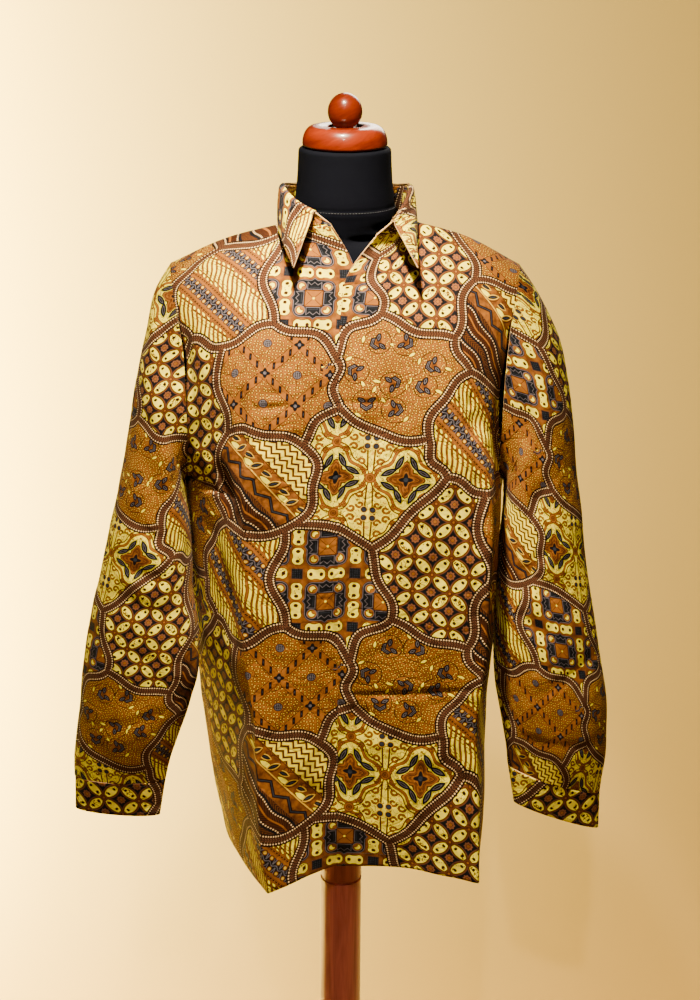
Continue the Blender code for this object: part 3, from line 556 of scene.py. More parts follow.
# Where each motif starts.
motifStarts = {"C": (-37, 742), "K": (108, 753), "D": (-54, 646), "P": (-149, 731), "Z": (-104, 497),
               "Y": (73, 515)}
# The clusters of tendrils: across, up, turn.
tendrils = ((39, 681, 20), (70, 681, 150), (14, 646, -30), (104, 652, 15), (56, 631, 200), (93, 627, 10),
            (27, 609, 90), (59, 600, 170))
# The motifs' turn against the grain of the cloth, in degrees.
printTurn = -2.5


def repeatsOf(name):
    # A name such as 6AR, as its own name and its shift in millimetres.
    shift = np.zeros(2)
    while name[-1] in repeat:
        shift += repeat[name[-1]]
        name = name[:-1]
    return name, shift


def chartBorders(step=2.0, beyond=12.0):
    # Each border as points a step apart, carried on straight past both ends.
    lines = []
    for start, end, bow, sway, ripple, left, right in borders:
        a, b = ([np.array(meetings[n]) + s for n, s in (repeatsOf(start), repeatsOf(end))])
        length = np.linalg.norm(b - a)
        share = np.linspace(0, 1, int(length / step) + 2)[:, None]
        square = np.array((-(b - a)[1], (b - a)[0])) / length
        bend = (bow * np.sin(np.pi * share) + sway * np.sin(2 * np.pi * share)
                + ripple * np.sin(3 * np.pi * share))
        line = a + (b - a) * share + square * bend
        ends = []
        for tip, inner in ((line[0], line[1]), (line[-1], line[-2])):
            out = (tip - inner) / np.linalg.norm(tip - inner)
            ends.append([tip + out * step * k for k in range(1, int(beyond / step) + 1)])
        lines.append((np.vstack([ends[0][::-1], line, ends[1]]), len(ends[0]), left, right))
    return lines


def treeOf(points):
    tree = kdtree.KDTree(len(points))
    for index, point in enumerate(points):
        tree.insert(point, index)
    tree.balance()
    return tree


def layPrint(corners):
    # corners are the places (faces, 4, 2) of a panel's faces on the print, in millimetres. Gives
    # each face's motif, its corners on that motif's own map, and their place along and across
    # the nearest border.
    # The border's nearest stretch to a corner lies within so many steps of the nearest to its face.
    stepsEachWay = 6
    lines = chartBorders()
    across, down = (np.array(repeat[k], float) for k in "AR")
    both = np.linalg.inv(np.array([across, down]).T)
    middle = np.array(meetings["9"], float)
    centres = corners.mean(axis=1)
    steps = np.round((centres - middle) @ both.T)
    shift = steps @ np.array([across, down])
    centres, corners = centres - shift, corners - shift[:, None]
    points, names = [], []
    for i in (-1, 0, 1):
        for j in (-1, 0, 1):
            move = i * across + j * down
            for number, (line, extra, _, _) in enumerate(lines):
                for at in range(extra, len(line) - extra):
                    points.append((*(line[at] + move), 0.0))
                    names.append((number, at, i, j))
    tree = treeOf(points)
    nearest = np.array([names[tree.find((*p, 0.0))[1]] for p in centres])
    motif = np.empty(len(corners), "U1")
    onMotif, onBorder = np.zeros(corners.shape), np.zeros(corners.shape)
    turn = math.radians(printTurn)
    spin = np.array(((math.cos(turn), -math.sin(turn)), (math.sin(turn), math.cos(turn))))
    clusters = np.array(tendrils, float)
    for number, (line, extra, left, right) in enumerate(lines):
        chosen = np.nonzero(nearest[:, 0] == number)[0]
        if not len(chosen):
            continue
        move = nearest[chosen, 2:3] * across + nearest[chosen, 3:4] * down
        local = corners[chosen] - move[:, None]
        lengths = np.linalg.norm(np.diff(line, axis=0), axis=1)
        run = np.concatenate([[0.0], np.cumsum(lengths)]) - lengths[:extra].sum()
        best = np.full(local.shape[:2], 1e9)
        place = np.zeros(local.shape)
        for offset in range(-stepsEachWay, stepsEachWay):
            at = np.clip(nearest[chosen, 1] + offset, 0, len(line) - 2)
            a, ab = line[at][:, None], (line[at + 1] - line[at])[:, None]
            share = ((local - a) * ab).sum(-1) / (ab ** 2).sum(-1)
            share = np.clip(share, 0, 1)
            away = local - a - ab * share[..., None]
            gap = np.linalg.norm(away, axis=-1)
            side = np.sign(ab[..., 0] * away[..., 1] - ab[..., 1] * away[..., 0])
            better = gap < best
            best = np.where(better, gap, best)
            found = np.stack([run[at][:, None] + share * lengths[at][:, None], side * gap], -1)
            place = np.where(better[..., None], found, place)
        onBorder[chosen] = place
        isLeft = place[..., 1].mean(axis=1) > 0
        for sideName, these in ((left, isLeft), (right, ~isLeft)):
            name, moved = repeatsOf(sideName)
            rows = chosen[these]
            motif[rows] = name
            spot = local[these] - moved
            if name == "S":
                mid = spot.mean(axis=1)
                own = np.argmin(((mid[:, None] - clusters[:, :2]) ** 2).sum(-1), axis=1)
                x, y = np.moveaxis(spot - clusters[own, None, :2], -1, 0)
                angle = np.radians(clusters[own, 2])[:, None]
                c, s = np.cos(angle), np.sin(angle)
                onMotif[rows] = np.stack([x * c + y * s, y * c - x * s], -1)
            else:
                onMotif[rows] = (spot - motifStarts[name]) @ spin
    return motif, onMotif, onBorder


# The shirt's shape. Levels of the body, as heights above the hem along the cloth: hem, low, hip,
# waist, rib, armpit, chest, upper chest, collarbone, throat and the top line (neck seam and
# shoulder).
levels = (0.0, 0.070, 0.165, 0.295, 0.395, 0.485, 0.565, 0.645, 0.715, 0.770, 0.815)
armpitLevel = 5

# Round the armhole a level meets the sleeve at this part of a half turn, from the shoulder's
# tip (0) down to the armpit (1).
armholeTurns = (1.0, 0.72, 0.50, 0.30, 0.13, 0.0)

# Lines that run up each front, one point (x, y, z) a level.
frontLeft = {
    "edge": (
        (-0.0050, -0.090, 0.634), (-0.0050, -0.098, 0.702), (-0.0050, -0.104, 0.800),
        (-0.0050, -0.110, 0.925), (-0.0050, -0.114, 1.022), (-0.0050, -0.117, 1.112),
        (-0.0050, -0.118, 1.192), (-0.0050, -0.114, 1.272), (-0.0025, -0.099, 1.340),
        (0.0060, -0.090, 1.377), (0.0359, -0.080, 1.415)),
    "middle": (
        (0.040, -0.092, 0.636), (0.040, -0.100, 0.702), (0.040, -0.106, 0.800),
        (0.040, -0.112, 0.925), (0.040, -0.116, 1.022), (0.040, -0.119, 1.112),
        (0.040, -0.120, 1.192), (0.040, -0.115, 1.272), (0.041, -0.100, 1.339),
        (0.046, -0.080, 1.382), (0.0620, -0.050, 1.4150)),
    "neck": (
        (0.090, -0.099, 0.635), (0.088, -0.104, 0.701), (0.086, -0.108, 0.800),
        (0.087, -0.113, 0.925), (0.088, -0.116, 1.021), (0.088, -0.119, 1.111),
        (0.088, -0.118, 1.191), (0.087, -0.108, 1.271), (0.085, -0.088, 1.337),
        (0.081, -0.054, 1.383), (0.0775, 0.000, 1.4180)),
    "crease": (
        (0.1692, -0.112, 0.623), (0.1685, -0.112, 0.694), (0.1608, -0.112, 0.812),
        (0.1660, -0.112, 0.920), (0.1670, -0.112, 1.018), (0.1660, -0.109, 1.108),
        (0.1560, -0.102, 1.186), (0.1530, -0.092, 1.264), (0.1515, -0.068, 1.329),
        (0.1460, -0.038, 1.3730), (0.1400, 0.000, 1.4005)),
    "side": (
        (0.1770, 0.0, 0.629), (0.1790, 0.0, 0.698), (0.1800, 0.0, 0.796),
        (0.1820, 0.0, 0.918), (0.1830, 0.0, 1.016), (0.1865, 0.0, 1.110)),
    "sharp": (1.0, 1.0, 1.0, 1.0, 0.9, 0.7, 0.4, 0.2, 0.0, 0.0, 0.0),
}
frontRight = {
    "edge": (
        (0.0200, -0.0882, 0.636), (0.0200, -0.0962, 0.702), (0.0200, -0.1022, 0.800),
        (0.0200, -0.1082, 0.925), (0.0200, -0.1122, 1.022), (0.0200, -0.1152, 1.112),
        (0.0200, -0.1162, 1.192), (0.0200, -0.1116, 1.272), (0.0180, -0.0966, 1.338),
        (0.0094, -0.0850, 1.387), (-0.0153, -0.0800, 1.428)),
    "middle": (
        (-0.0220, -0.0945, 0.631), (-0.0220, -0.1000, 0.700), (-0.0220, -0.1055, 0.798),
        (-0.0225, -0.1115, 0.923), (-0.0230, -0.1155, 1.021), (-0.0230, -0.1180, 1.111),
        (-0.0230, -0.1190, 1.191), (-0.0240, -0.1150, 1.271), (-0.0250, -0.1010, 1.338),
        (-0.0330, -0.0810, 1.386), (-0.0540, -0.0500, 1.4190)),
    "neck": (
        (-0.055, -0.107, 0.622), (-0.057, -0.109, 0.694), (-0.060, -0.111, 0.794),
        (-0.064, -0.114, 0.921), (-0.065, -0.117, 1.020), (-0.066, -0.119, 1.110),
        (-0.067, -0.119, 1.190), (-0.068, -0.112, 1.270), (-0.070, -0.093, 1.336),
        (-0.073, -0.056, 1.383), (-0.0715, 0.000, 1.4140)),
    "crease": (
        (-0.0896, -0.120, 0.611), (-0.0970, -0.118, 0.690), (-0.1030, -0.116, 0.790),
        (-0.1110, -0.115, 0.920), (-0.1105, -0.115, 1.020), (-0.1098, -0.115, 1.110),
        (-0.1090, -0.112, 1.190), (-0.1090, -0.102, 1.270), (-0.1120, -0.080, 1.332),
        (-0.1250, -0.044, 1.374), (-0.1391, 0.000, 1.3955)),
    "side": (
        (-0.1380, 0.0, 0.613), (-0.1500, 0.0, 0.692), (-0.1630, 0.0, 0.787),
        (-0.1750, 0.0, 0.917), (-0.1800, 0.0, 1.016), (-0.1850, 0.0, 1.110)),
    "sharp": (1.0, 1.0, 1.0, 1.0, 1.0, 0.9, 0.7, 0.5, 0.3, 0.0, 0.0),
}
# The right front's lap lies behind the left front's edge.
lapLine = (
    (-0.0045, -0.0878, 0.634), (-0.0045, -0.0958, 0.702), (-0.0045, -0.1018, 0.800),
    (-0.0045, -0.1078, 0.925), (-0.0045, -0.1118, 1.022), (-0.0045, -0.1148, 1.112),
    (-0.0045, -0.1158, 1.192), (-0.0045, -0.1118, 1.272), (-0.0045, -0.0972, 1.338),
    (-0.0080, -0.0850, 1.386), (-0.0310, -0.0730, 1.4245))
backLines = {
    "creaseRight": (
        (-0.160, 0.104, 0.617), (-0.172, 0.105, 0.698), (-0.182, 0.105, 0.794),
        (-0.189, 0.103, 0.920), (-0.189, 0.101, 1.018), (-0.180, 0.103, 1.110),
        (-0.163, 0.107, 1.188), (-0.152, 0.100, 1.266), (-0.146, 0.074, 1.330),
        (-0.142, 0.036, 1.375), (-0.1391, 0.000, 1.3955)),
    "neckRight": (
        (-0.078, 0.115, 0.629), (-0.081, 0.114, 0.700), (-0.083, 0.112, 0.796),
        (-0.084, 0.111, 0.922), (-0.084, 0.112, 1.020), (-0.083, 0.116, 1.111),
        (-0.083, 0.119, 1.191), (-0.082, 0.114, 1.271), (-0.081, 0.094, 1.338),
        (-0.076, 0.053, 1.388), (-0.0715, 0.000, 1.4140)),
    "middleRight": (
        (-0.038, 0.117, 0.632), (-0.039, 0.115, 0.702), (-0.040, 0.113, 0.798),
        (-0.040, 0.112, 0.923), (-0.041, 0.113, 1.021), (-0.041, 0.117, 1.112),
        (-0.041, 0.120, 1.192), (-0.041, 0.117, 1.272), (-0.043, 0.101, 1.340),
        (-0.048, 0.078, 1.390), (-0.0560, 0.048, 1.4205)),
    "centre": (
        (0.004, 0.117, 0.634), (0.003, 0.115, 0.703), (0.002, 0.113, 0.799),
        (0.001, 0.112, 0.924), (0.0, 0.114, 1.022), (0.0, 0.118, 1.112),
        (0.0, 0.121, 1.192), (0.0, 0.118, 1.272), (0.0, 0.104, 1.341),
        (0.0, 0.085, 1.391), (0.0020, 0.068, 1.426)),
    "middleLeft": (
        (0.046, 0.117, 0.634), (0.045, 0.115, 0.703), (0.044, 0.113, 0.799),
        (0.043, 0.112, 0.924), (0.043, 0.113, 1.021), (0.043, 0.117, 1.112),
        (0.043, 0.120, 1.192), (0.043, 0.117, 1.272), (0.045, 0.101, 1.340),
        (0.050, 0.078, 1.390), (0.0590, 0.048, 1.4215)),
    "neckLeft": (
        (0.090, 0.116, 0.632), (0.088, 0.114, 0.702), (0.087, 0.112, 0.798),
        (0.086, 0.111, 0.923), (0.086, 0.112, 1.021), (0.086, 0.116, 1.111),
        (0.086, 0.119, 1.191), (0.085, 0.114, 1.271), (0.084, 0.094, 1.338),
        (0.082, 0.053, 1.389), (0.0775, 0.000, 1.4180)),
    "creaseLeft": (
        (0.172, 0.104, 0.630), (0.174, 0.105, 0.700), (0.176, 0.105, 0.796),
        (0.181, 0.103, 0.920), (0.183, 0.101, 1.018), (0.178, 0.103, 1.110),
        (0.163, 0.107, 1.188), (0.153, 0.100, 1.266), (0.147, 0.074, 1.331),
        (0.143, 0.036, 1.378), (0.1400, 0.000, 1.4005)),
    "sharp": (0.8, 0.8, 0.8, 0.7, 0.5, 0.2, 0.0, 0.0, 0.0, 0.0, 0.0),
}

# Armholes and sleeves: a ring has an inner point and an outer point (x, z), the depth y of its
# middle and half its depth. The first ring is the armhole, the last the cuff's seam.
armholeInset = 0.010
sleeveRight = (
    # inner x, inner z, outer x, outer z, middle y, half depth
    (-0.1850, 1.110, -0.2010, 1.3665, 0.000, 0.062),
    (-0.1915, 1.105, -0.2180, 1.3385, -0.004, 0.063),
    (-0.1920, 1.088, -0.2300, 1.2900, -0.009, 0.063),
    (-0.1885, 1.055, -0.2410, 1.2360, -0.014, 0.060),
    (-0.1865, 1.015, -0.2530, 1.1760, -0.019, 0.057),
    (-0.1845, 0.975, -0.2660, 1.1055, -0.024, 0.055),
    (-0.1805, 0.935, -0.2845, 1.0260, -0.029, 0.053),
    (-0.1780, 0.895, -0.3015, 0.9500, -0.033, 0.051),
    (-0.1800, 0.855, -0.3150, 0.8800, -0.036, 0.047),
    (-0.1930, 0.806, -0.3235, 0.8120, -0.040, 0.042),
    (-0.2060, 0.768, -0.3280, 0.7680, -0.042, 0.034),
    (-0.2170, 0.7315, -0.3290, 0.7345, -0.043, 0.025))
sleeveLeft = (
    (0.1865, 1.110, 0.2030, 1.3675, 0.000, 0.062),
    (0.1925, 1.105, 0.2225, 1.3395, -0.004, 0.063),
    (0.1940, 1.086, 0.2480, 1.2900, -0.009, 0.063),
    (0.1915, 1.052, 0.2630, 1.2350, -0.014, 0.060),
    (0.1890, 1.012, 0.2715, 1.1760, -0.019, 0.057),
    (0.1870, 0.972, 0.2795, 1.1120, -0.024, 0.055),
    (0.1858, 0.932, 0.2885, 1.0380, -0.029, 0.053),
    (0.1858, 0.893, 0.3015, 0.9550, -0.033, 0.051),
    (0.1880, 0.850, 0.3160, 0.8800, -0.036, 0.047),
    (0.1970, 0.800, 0.3250, 0.8080, -0.040, 0.042),
    (0.2020, 0.776, 0.3260, 0.7640, -0.042, 0.034),
    (0.2051, 0.752, 0.3200, 0.7170, -0.043, 0.025))
# Each cuff runs on from there to a ring round its mouth.
mouthRight = (-0.2253, 0.6815, -0.3300, 0.6900, -0.045, 0.014)
mouthLeft = (0.2138, 0.7020, 0.3203, 0.6670, -0.045, 0.014)

# Collar, from the wearer's right end round the back to the left end: the fold line at the top,
# the leaf's lower edge, and how far the leaf bows out between them. The stand rises from the
# neck seam to just under the fold.
collarFold = (
    (-0.0321, -0.0720, 1.4410), (-0.0560, -0.0420, 1.4490), (-0.0705, 0.0000, 1.4590),
    (-0.0540, 0.0440, 1.4530), (0.0020, 0.0640, 1.4505), (0.0590, 0.0440, 1.4530),
    (0.0745, 0.0000, 1.4585), (0.0660, -0.0420, 1.4430), (0.0531, -0.0720, 1.4304))
collarEdge = (
    (-0.0565, -0.1000, 1.3824), (-0.0690, -0.0600, 1.4010), (-0.0765, -0.0050, 1.4150),
    (-0.0640, 0.0590, 1.4160), (0.0020, 0.0810, 1.4150), (0.0700, 0.0590, 1.4180),
    (0.0825, -0.0050, 1.4190), (0.0825, -0.0600, 1.4020), (0.0830, -0.1000, 1.3828))
collarBow = (0.0, 0.001, 0.001, 0.003, 0.004, 0.003, 0.001, 0.001, 0.0)
collar = {"centre": (0.003, 0.0, 1.45), "stand below fold": 0.0026, "stand above seam": 0.0003}
# Round the fold, from inside the neck: how far out from the stand's top, and how far above it.
foldRoll = ((-0.0014, 0.0027), (0.0016, 0.0026), (0.0042, 0.0002), (0.0052, -0.0035))

# Largest folds: from, to (x, y, z), depth (positive sinks in), half width.
folds = (
    ((-0.212, -0.055, 1.335), (-0.200, -0.068, 1.255), 0.010, 0.014),
    ((0.166, -0.108, 1.250), (0.166, -0.112, 1.205), 0.010, 0.017),
    ((0.215, -0.070, 1.300), (0.205, -0.075, 1.180), 0.007, 0.013),
    ((-0.190, -0.075, 1.240), (-0.186, -0.070, 1.110), 0.006, 0.014),
    ((0.225, -0.090, 1.010), (0.285, -0.090, 0.975), 0.006, 0.014),
    ((-0.215, -0.090, 0.960), (-0.285, -0.085, 0.985), 0.005, 0.014),
    ((-0.060, 0.118, 1.180), (-0.080, 0.112, 0.750), 0.006, 0.020),
    ((0.070, 0.118, 1.120), (0.060, 0.112, 0.700), 0.006, 0.020))


def slopes(points, knots):
    # Tangent of a smooth curve at each of its points.
    steps = np.diff(knots)[:, None]
    rates = np.diff(points, axis=0) / steps
    inner = (rates[:-1] * steps[1:] + rates[1:] * steps[:-1]) / (steps[1:] + steps[:-1])
    return np.vstack([rates[:1], inner, rates[-1:]])


def hermite(start, end, startSlope, endSlope, step, share):
    s2, s3 = share * share, share ** 3
    return ((2 * s3 - 3 * s2 + 1) * start + (s3 - 2 * s2 + share) * step * startSlope
            + (3 * s2 - 2 * s3) * end + (s3 - s2) * step * endSlope)


def along(points, knots, places):
    # Points of a smooth curve through points, at places on the scale of its knots.
    points, knots = np.asarray(points, float), np.asarray(knots, float)
    if points.ndim == 1:
        return along(points[:, None], knots, places)[:, 0]
    tangents = slopes(points, knots)
    found = []
    for place in places:
        at = min(max(int(np.searchsorted(knots, place, "right")) - 1, 0), len(knots) - 2)
        step = knots[at + 1] - knots[at]
        found.append(hermite(points[at], points[at + 1], tangents[at], tangents[at + 1],
                             step, (place - knots[at]) / step))
    return np.array(found)


def across(points, counts, sharp, endSlopes):
    # Points of one level across a panel. sharp says how much of a corner each point is, and
    # endSlopes may give the direction in which the curve starts or ends.
    steps = np.linalg.norm(np.diff(points, axis=0), axis=1)
    knots = np.concatenate([[0.0], np.cumsum(steps)])
    smooth = slopes(points, knots)
    straight = np.diff(points, axis=0) / steps[:, None]
    if endSlopes[0] is not None:
        smooth[0] = endSlopes[0]
    if endSlopes[1] is not None:
        smooth[-1] = endSlopes[1]
    found = [points[0]]
    for at, count in enumerate(counts):
        leave = smooth[at] * (1 - sharp[at]) + straight[at] * sharp[at]
        arrive = smooth[at + 1] * (1 - sharp[at + 1]) + straight[at] * sharp[at + 1]
        for k in range(1, count + 1):
            found.append(hermite(points[at], points[at + 1], leave, arrive, steps[at], k / count))
    return np.array(found)


def levelPlaces(counts):
    # Where the rows of points lie, with so many rows between each two levels.
    places = [levels[0]]
    for low, high, count in zip(levels, levels[1:], counts):
        places += [low + (high - low) * k / count for k in range(1, count + 1)]
    return places


# How finely the cloth is laid: rows between levels, points between the lines, rows between rings.
rowCounts = (22, 30, 40, 31, 28, 25, 25, 22, 17, 14)
rows = levelPlaces(rowCounts)
armpitRow = sum(rowCounts[:armpitLevel])
turns = along(armholeTurns, levels[armpitLevel:], rows[armpitRow:])
frontCounts = [14, 15, 26, 38]
lapCounts = [5, 9]
backCounts = (30, 24, 14, 14, 14, 14, 24, 30)
ringCount = 20


def ringPoint(ring, turn, front, inset):
    # A point of a sleeve's ring: turn runs from its outer point (0) to its inner point (1).
    innerX, innerZ, outerX, outerZ, middleY, halfDepth = ring
    angle = math.pi * turn
    share = (1 - math.cos(angle)) / 2
    x = outerX + (innerX - outerX) * share
    x -= math.copysign(inset * math.sin(angle) ** 2, outerX)
    z = outerZ + (innerZ - outerZ) * share
    y = middleY - halfDepth * math.sin(angle) * (1 if front else -1)
    return (x, y, z)


def sideLine(side, ring, front):
    # The side seam up to the armpit, then one half of the armhole up to the shoulder's tip.
    low = along(side, levels[:armpitLevel + 1], rows[:armpitRow + 1])
    high = [ringPoint(ring, turn, front, armholeInset) for turn in turns[1:]]
    return np.vstack([low, np.array(high)])


def tubeGrid(rings, inset):
    # Rings of a sleeve, each from the armpit up the front to the top and down the back. The
    # armhole's inset fades out over the sleeve's first 50 mm.
    table = np.array(rings)
    knots = np.concatenate([[0.0], np.cumsum(np.linalg.norm(np.diff(table, axis=0), axis=1))])
    places = [0.0]
    for low, high in zip(knots, knots[1:]):
        places += [low + (high - low) * k / ringCount for k in range(1, ringCount + 1)]
    grid = []
    for place, ring in zip(places, along(table, knots, places)):
        hold = inset * max(0.0, 1.0 - place / 0.05)
        frontHalf = [ringPoint(ring, turn, True, hold) for turn in turns]
        backHalf = [ringPoint(ring, turn, False, hold) for turn in turns[::-1][1:-1]]
        grid.append(frontHalf + backHalf)
    return np.array(grid)


def beside(points, start, end):
    # How far along a fold's line points lie, as a share of it, and how far from it.
    start, end = np.array(start), np.array(end)
    run = end - start
    share = np.clip(((points - start) @ run) / (run @ run), 0.0, 1.0)
    return share, np.linalg.norm(points - (start + share[..., None] * run), axis=-1)


def sinkFolds(grid, normals):
    moved = grid.copy()
    for start, end, depth, halfWidth in folds:
        gap = beside(grid, start, end)[1]
        moved -= normals * (depth * np.exp(-(gap / halfWidth) ** 2))[..., None]
    return moved


def frontGrid(lines, ring, extra=None):
    # One front, row by row from its edge to its side seam and armhole.
    edge, middle, neck, crease = (along(lines[key], levels, rows)
                                  for key in ("edge", "middle", "neck", "crease"))
    side = sideLine(lines["side"], ring, True)
    sharp = along(lines["sharp"], levels, rows)
    lap = along(extra, levels, rows) if extra else None
    back = along(backLines["creaseLeft" if ring[0] > 0 else "creaseRight"], levels, rows)
    grid = []
    for at, place in enumerate(rows):
        points = [edge[at], middle[at], neck[at], crease[at], side[at]]
        corners = [0.0, 0.0, cornerAtNeck(place), sharp[at], 0.0]
        counts = list(frontCounts)
        if extra:
            points.insert(1, lap[at])
            corners.insert(1, 0.0)
            counts[0:1] = lapCounts
        grid.append(across(np.array(points), counts, corners,
                           (None, seamSlope(crease[at], back[at], at))))
    return np.array(grid)


def cornerAtNeck(place):
    # The neck seam and the shoulder seam meet in a corner at the top.
    return float(np.clip((place - levels[-2]) / (levels[-1] - levels[-2]), 0.0, 1.0))


def seamSlope(front, back, row):
    # Below the armpit front and back run on into each other at the side seam.
    if row > armpitRow:
        return None
    run = back - front
    return run / np.linalg.norm(run)


def backGrid():
    # The back, row by row from the right side seam to the left one.
    names = ("creaseRight", "neckRight", "middleRight", "centre", "middleLeft", "neckLeft",
             "creaseLeft")
    lines = [along(backLines[name], levels, rows) for name in names]
    sides = (sideLine(frontRight["side"], sleeveRight[0], False),
             sideLine(frontLeft["side"], sleeveLeft[0], False))
    fronts = (along(frontRight["crease"], levels, rows), along(frontLeft["crease"], levels, rows))
    sharp = along(backLines["sharp"], levels, rows)
    grid = []
    for at, place in enumerate(rows):
        points = np.array([sides[0][at]] + [line[at] for line in lines] + [sides[1][at]])
        neckCorner = cornerAtNeck(place)
        corners = [0.0, sharp[at], neckCorner, 0.0, 0.0, 0.0, neckCorner, sharp[at], 0.0]
        leave = seamSlope(fronts[0][at], lines[0][at], at)
        arrive = seamSlope(lines[-1][at], fronts[1][at], at)
        grid.append(across(points, backCounts, corners, (leave, arrive)))
    return np.array(grid)


def collarGrids(neckSeam):
    # The stand, from the neck seam up, and the leaf, from over the stand down to its edge.
    stations = np.linspace(0.0, 1.0, len(collarFold))
    places = np.linspace(0.0, 1.0, len(neckSeam))
    fold = along(collarFold, stations, places)
    edge = along(collarEdge, stations, places)
    bow = along(collarBow, stations, places)
    run = np.gradient(fold, axis=0)
    out = np.cross(run, (0.0, 0.0, 1.0))
    out *= np.sign((out * (fold - np.array(collar["centre"]))).sum(axis=1))[:, None]
    out /= np.linalg.norm(out, axis=1)[:, None]
    up = np.array((0.0, 0.0, 1.0))
    foot, top = neckSeam + up * collar["stand above seam"], fold - up * collar["stand below fold"]
    stand = np.array([foot + (top - foot) * share for share in (0.0, 0.5, 1.0)])
    roll = [top + out * across + up * height for across, height in foldRoll]
    lower = []
    for share in (0.33, 0.66, 1.0):
        start = roll[-1]
        swell = (bow * 4 * share * (1 - share))[:, None]
        lower.append(start + (edge - start) * share + out * swell)
    return stand, np.array(roll + lower)


shirt = {"cloth": 0.0011, "collar": 0.0016, "cuff": 0.0018, "roundings": 3}
# Smaller creases pressed and worn into the cloth, written as the folds are.
creases = (
    ((-0.107, -0.114, 1.240), (-0.064, -0.118, 1.243), 0.0026, 0.0036),
    ((-0.108, -0.114, 1.222), (-0.060, -0.118, 1.228), 0.0030, 0.0036),
    ((-0.010, -0.119, 1.232), (0.046, -0.119, 1.234), 0.0020, 0.0038),
    ((-0.020, -0.112, 0.870), (0.105, -0.112, 0.875), 0.0026, 0.0042),
    ((0.096, -0.112, 0.876), (0.166, -0.108, 0.880), 0.0022, 0.0040),
    ((-0.115, -0.108, 1.318), (-0.115, -0.108, 1.150), 0.0030, 0.0050),
    ((-0.115, -0.108, 1.160), (-0.113, -0.108, 0.960), 0.0034, 0.0060),
    ((-0.113, -0.108, 0.950), (-0.108, -0.108, 0.760), 0.0030, 0.0070),
    ((0.147, -0.100, 1.226), (0.154, -0.100, 1.247), 0.0034, 0.0042),
    ((0.154, -0.100, 1.248), (0.176, -0.096, 1.250), 0.0040, 0.0042),
    ((0.178, -0.096, 1.248), (0.184, -0.090, 1.222), 0.0034, 0.0042),
    ((0.152, -0.100, 1.212), (0.176, -0.096, 1.208), 0.0030, 0.0042),
    ((-0.196, -0.055, 1.372), (-0.190, -0.060, 1.320), 0.0060, 0.0080),
    ((-0.190, -0.060, 1.320), (-0.181, -0.070, 1.215), 0.0080, 0.0110),
    ((0.196, -0.055, 1.376), (0.194, -0.060, 1.300), 0.0065, 0.0085),
    ((0.194, -0.060, 1.300), (0.187, -0.070, 1.130), 0.0090, 0.0125),
    ((0.150, -0.094, 1.350), (0.152, -0.098, 1.270), 0.0045, 0.0100),
    ((0.152, -0.100, 1.200), (0.166, -0.095, 1.000), 0.0072, 0.0125),
    ((-0.016, -0.112, 0.862), (0.030, -0.112, 0.846), 0.0020, 0.0060),
    ((-0.150, -0.060, 1.180), (-0.125, -0.105, 1.090), 0.0045, 0.0110),
    ((-0.160, -0.070, 1.060), (-0.128, -0.108, 0.930), 0.0040, 0.0120),
    ((-0.110, -0.114, 1.020), (-0.104, -0.114, 0.800), 0.0020, 0.0100),
    ((0.150, -0.100, 1.060), (0.168, -0.110, 0.900), 0.0035, 0.0110),
    ((0.120, -0.112, 1.150), (0.150, -0.108, 1.060), 0.0030, 0.0120),
    ((0.130, -0.105, 1.270), (0.150, -0.102, 1.200), 0.0040, 0.0120),
    ((0.060, -0.110, 0.780), (0.150, -0.112, 0.760), 0.0025, 0.0130),
    ((-0.090, -0.112, 0.760), (-0.010, -0.102, 0.730), 0.0025, 0.0130),
    ((-0.150, 0.030, 1.330), (-0.178, -0.010, 1.240), 0.0030, 0.0090),
    ((0.216, -0.066, 1.200), (0.232, -0.070, 1.060), 0.0040, 0.0110),
    ((0.250, -0.078, 1.150), (0.214, -0.080, 1.080), 0.0035, 0.0090),
    ((0.262, -0.085, 1.060), (0.215, -0.085, 1.020), 0.0040, 0.0090),
    ((0.214, -0.080, 0.960), (0.250, -0.085, 0.930), 0.0035, 0.0080),
    ((0.300, -0.070, 0.900), (0.236, -0.082, 0.860), 0.0030, 0.0090),
    ((0.222, -0.078, 0.800), (0.300, -0.070, 0.790), 0.0025, 0.0080),
    ((-0.226, -0.066, 1.190), (-0.214, -0.072, 1.060), 0.0035, 0.0110),
    ((-0.252, -0.072, 1.080), (-0.206, -0.080, 1.040), 0.0030, 0.0090),
    ((-0.206, -0.082, 1.000), (-0.262, -0.078, 1.020), 0.0030, 0.0080),
    ((-0.300, -0.060, 0.930), (-0.230, -0.082, 0.900), 0.0030, 0.0090),
    ((-0.216, -0.080, 0.830), (-0.290, -0.074, 0.812), 0.0025, 0.0080),
    ((-0.262, -0.070, 0.790), (-0.270, -0.060, 0.745), 0.0030, 0.0070),
    ((0.252, -0.070, 0.790), (0.262, -0.060, 0.740), 0.0030, 0.0070),
    ((-0.130, 0.106, 1.290), (-0.150, 0.104, 1.160), 0.0040, 0.0130),
    ((0.128, 0.108, 1.300), (0.150, 0.106, 1.150), 0.0040, 0.0130),
    ((-0.020, 0.119, 1.120), (-0.010, 0.113, 0.860), 0.0030, 0.0160),
    ((0.024, 0.119, 1.250), (0.012, 0.118, 1.080), 0.0030, 0.0150),
    ((0.110, 0.108, 1.000), (0.130, 0.106, 0.780), 0.0040, 0.0150),
    ((-0.120, 0.108, 1.040), (-0.138, 0.106, 0.820), 0.0040, 0.0150),
    ((-0.100, 0.113, 0.870), (0.120, 0.113, 0.874), 0.0014, 0.0040),
    ((-0.070, 0.120, 1.230), (0.080, 0.120, 1.234), 0.0014, 0.0040))
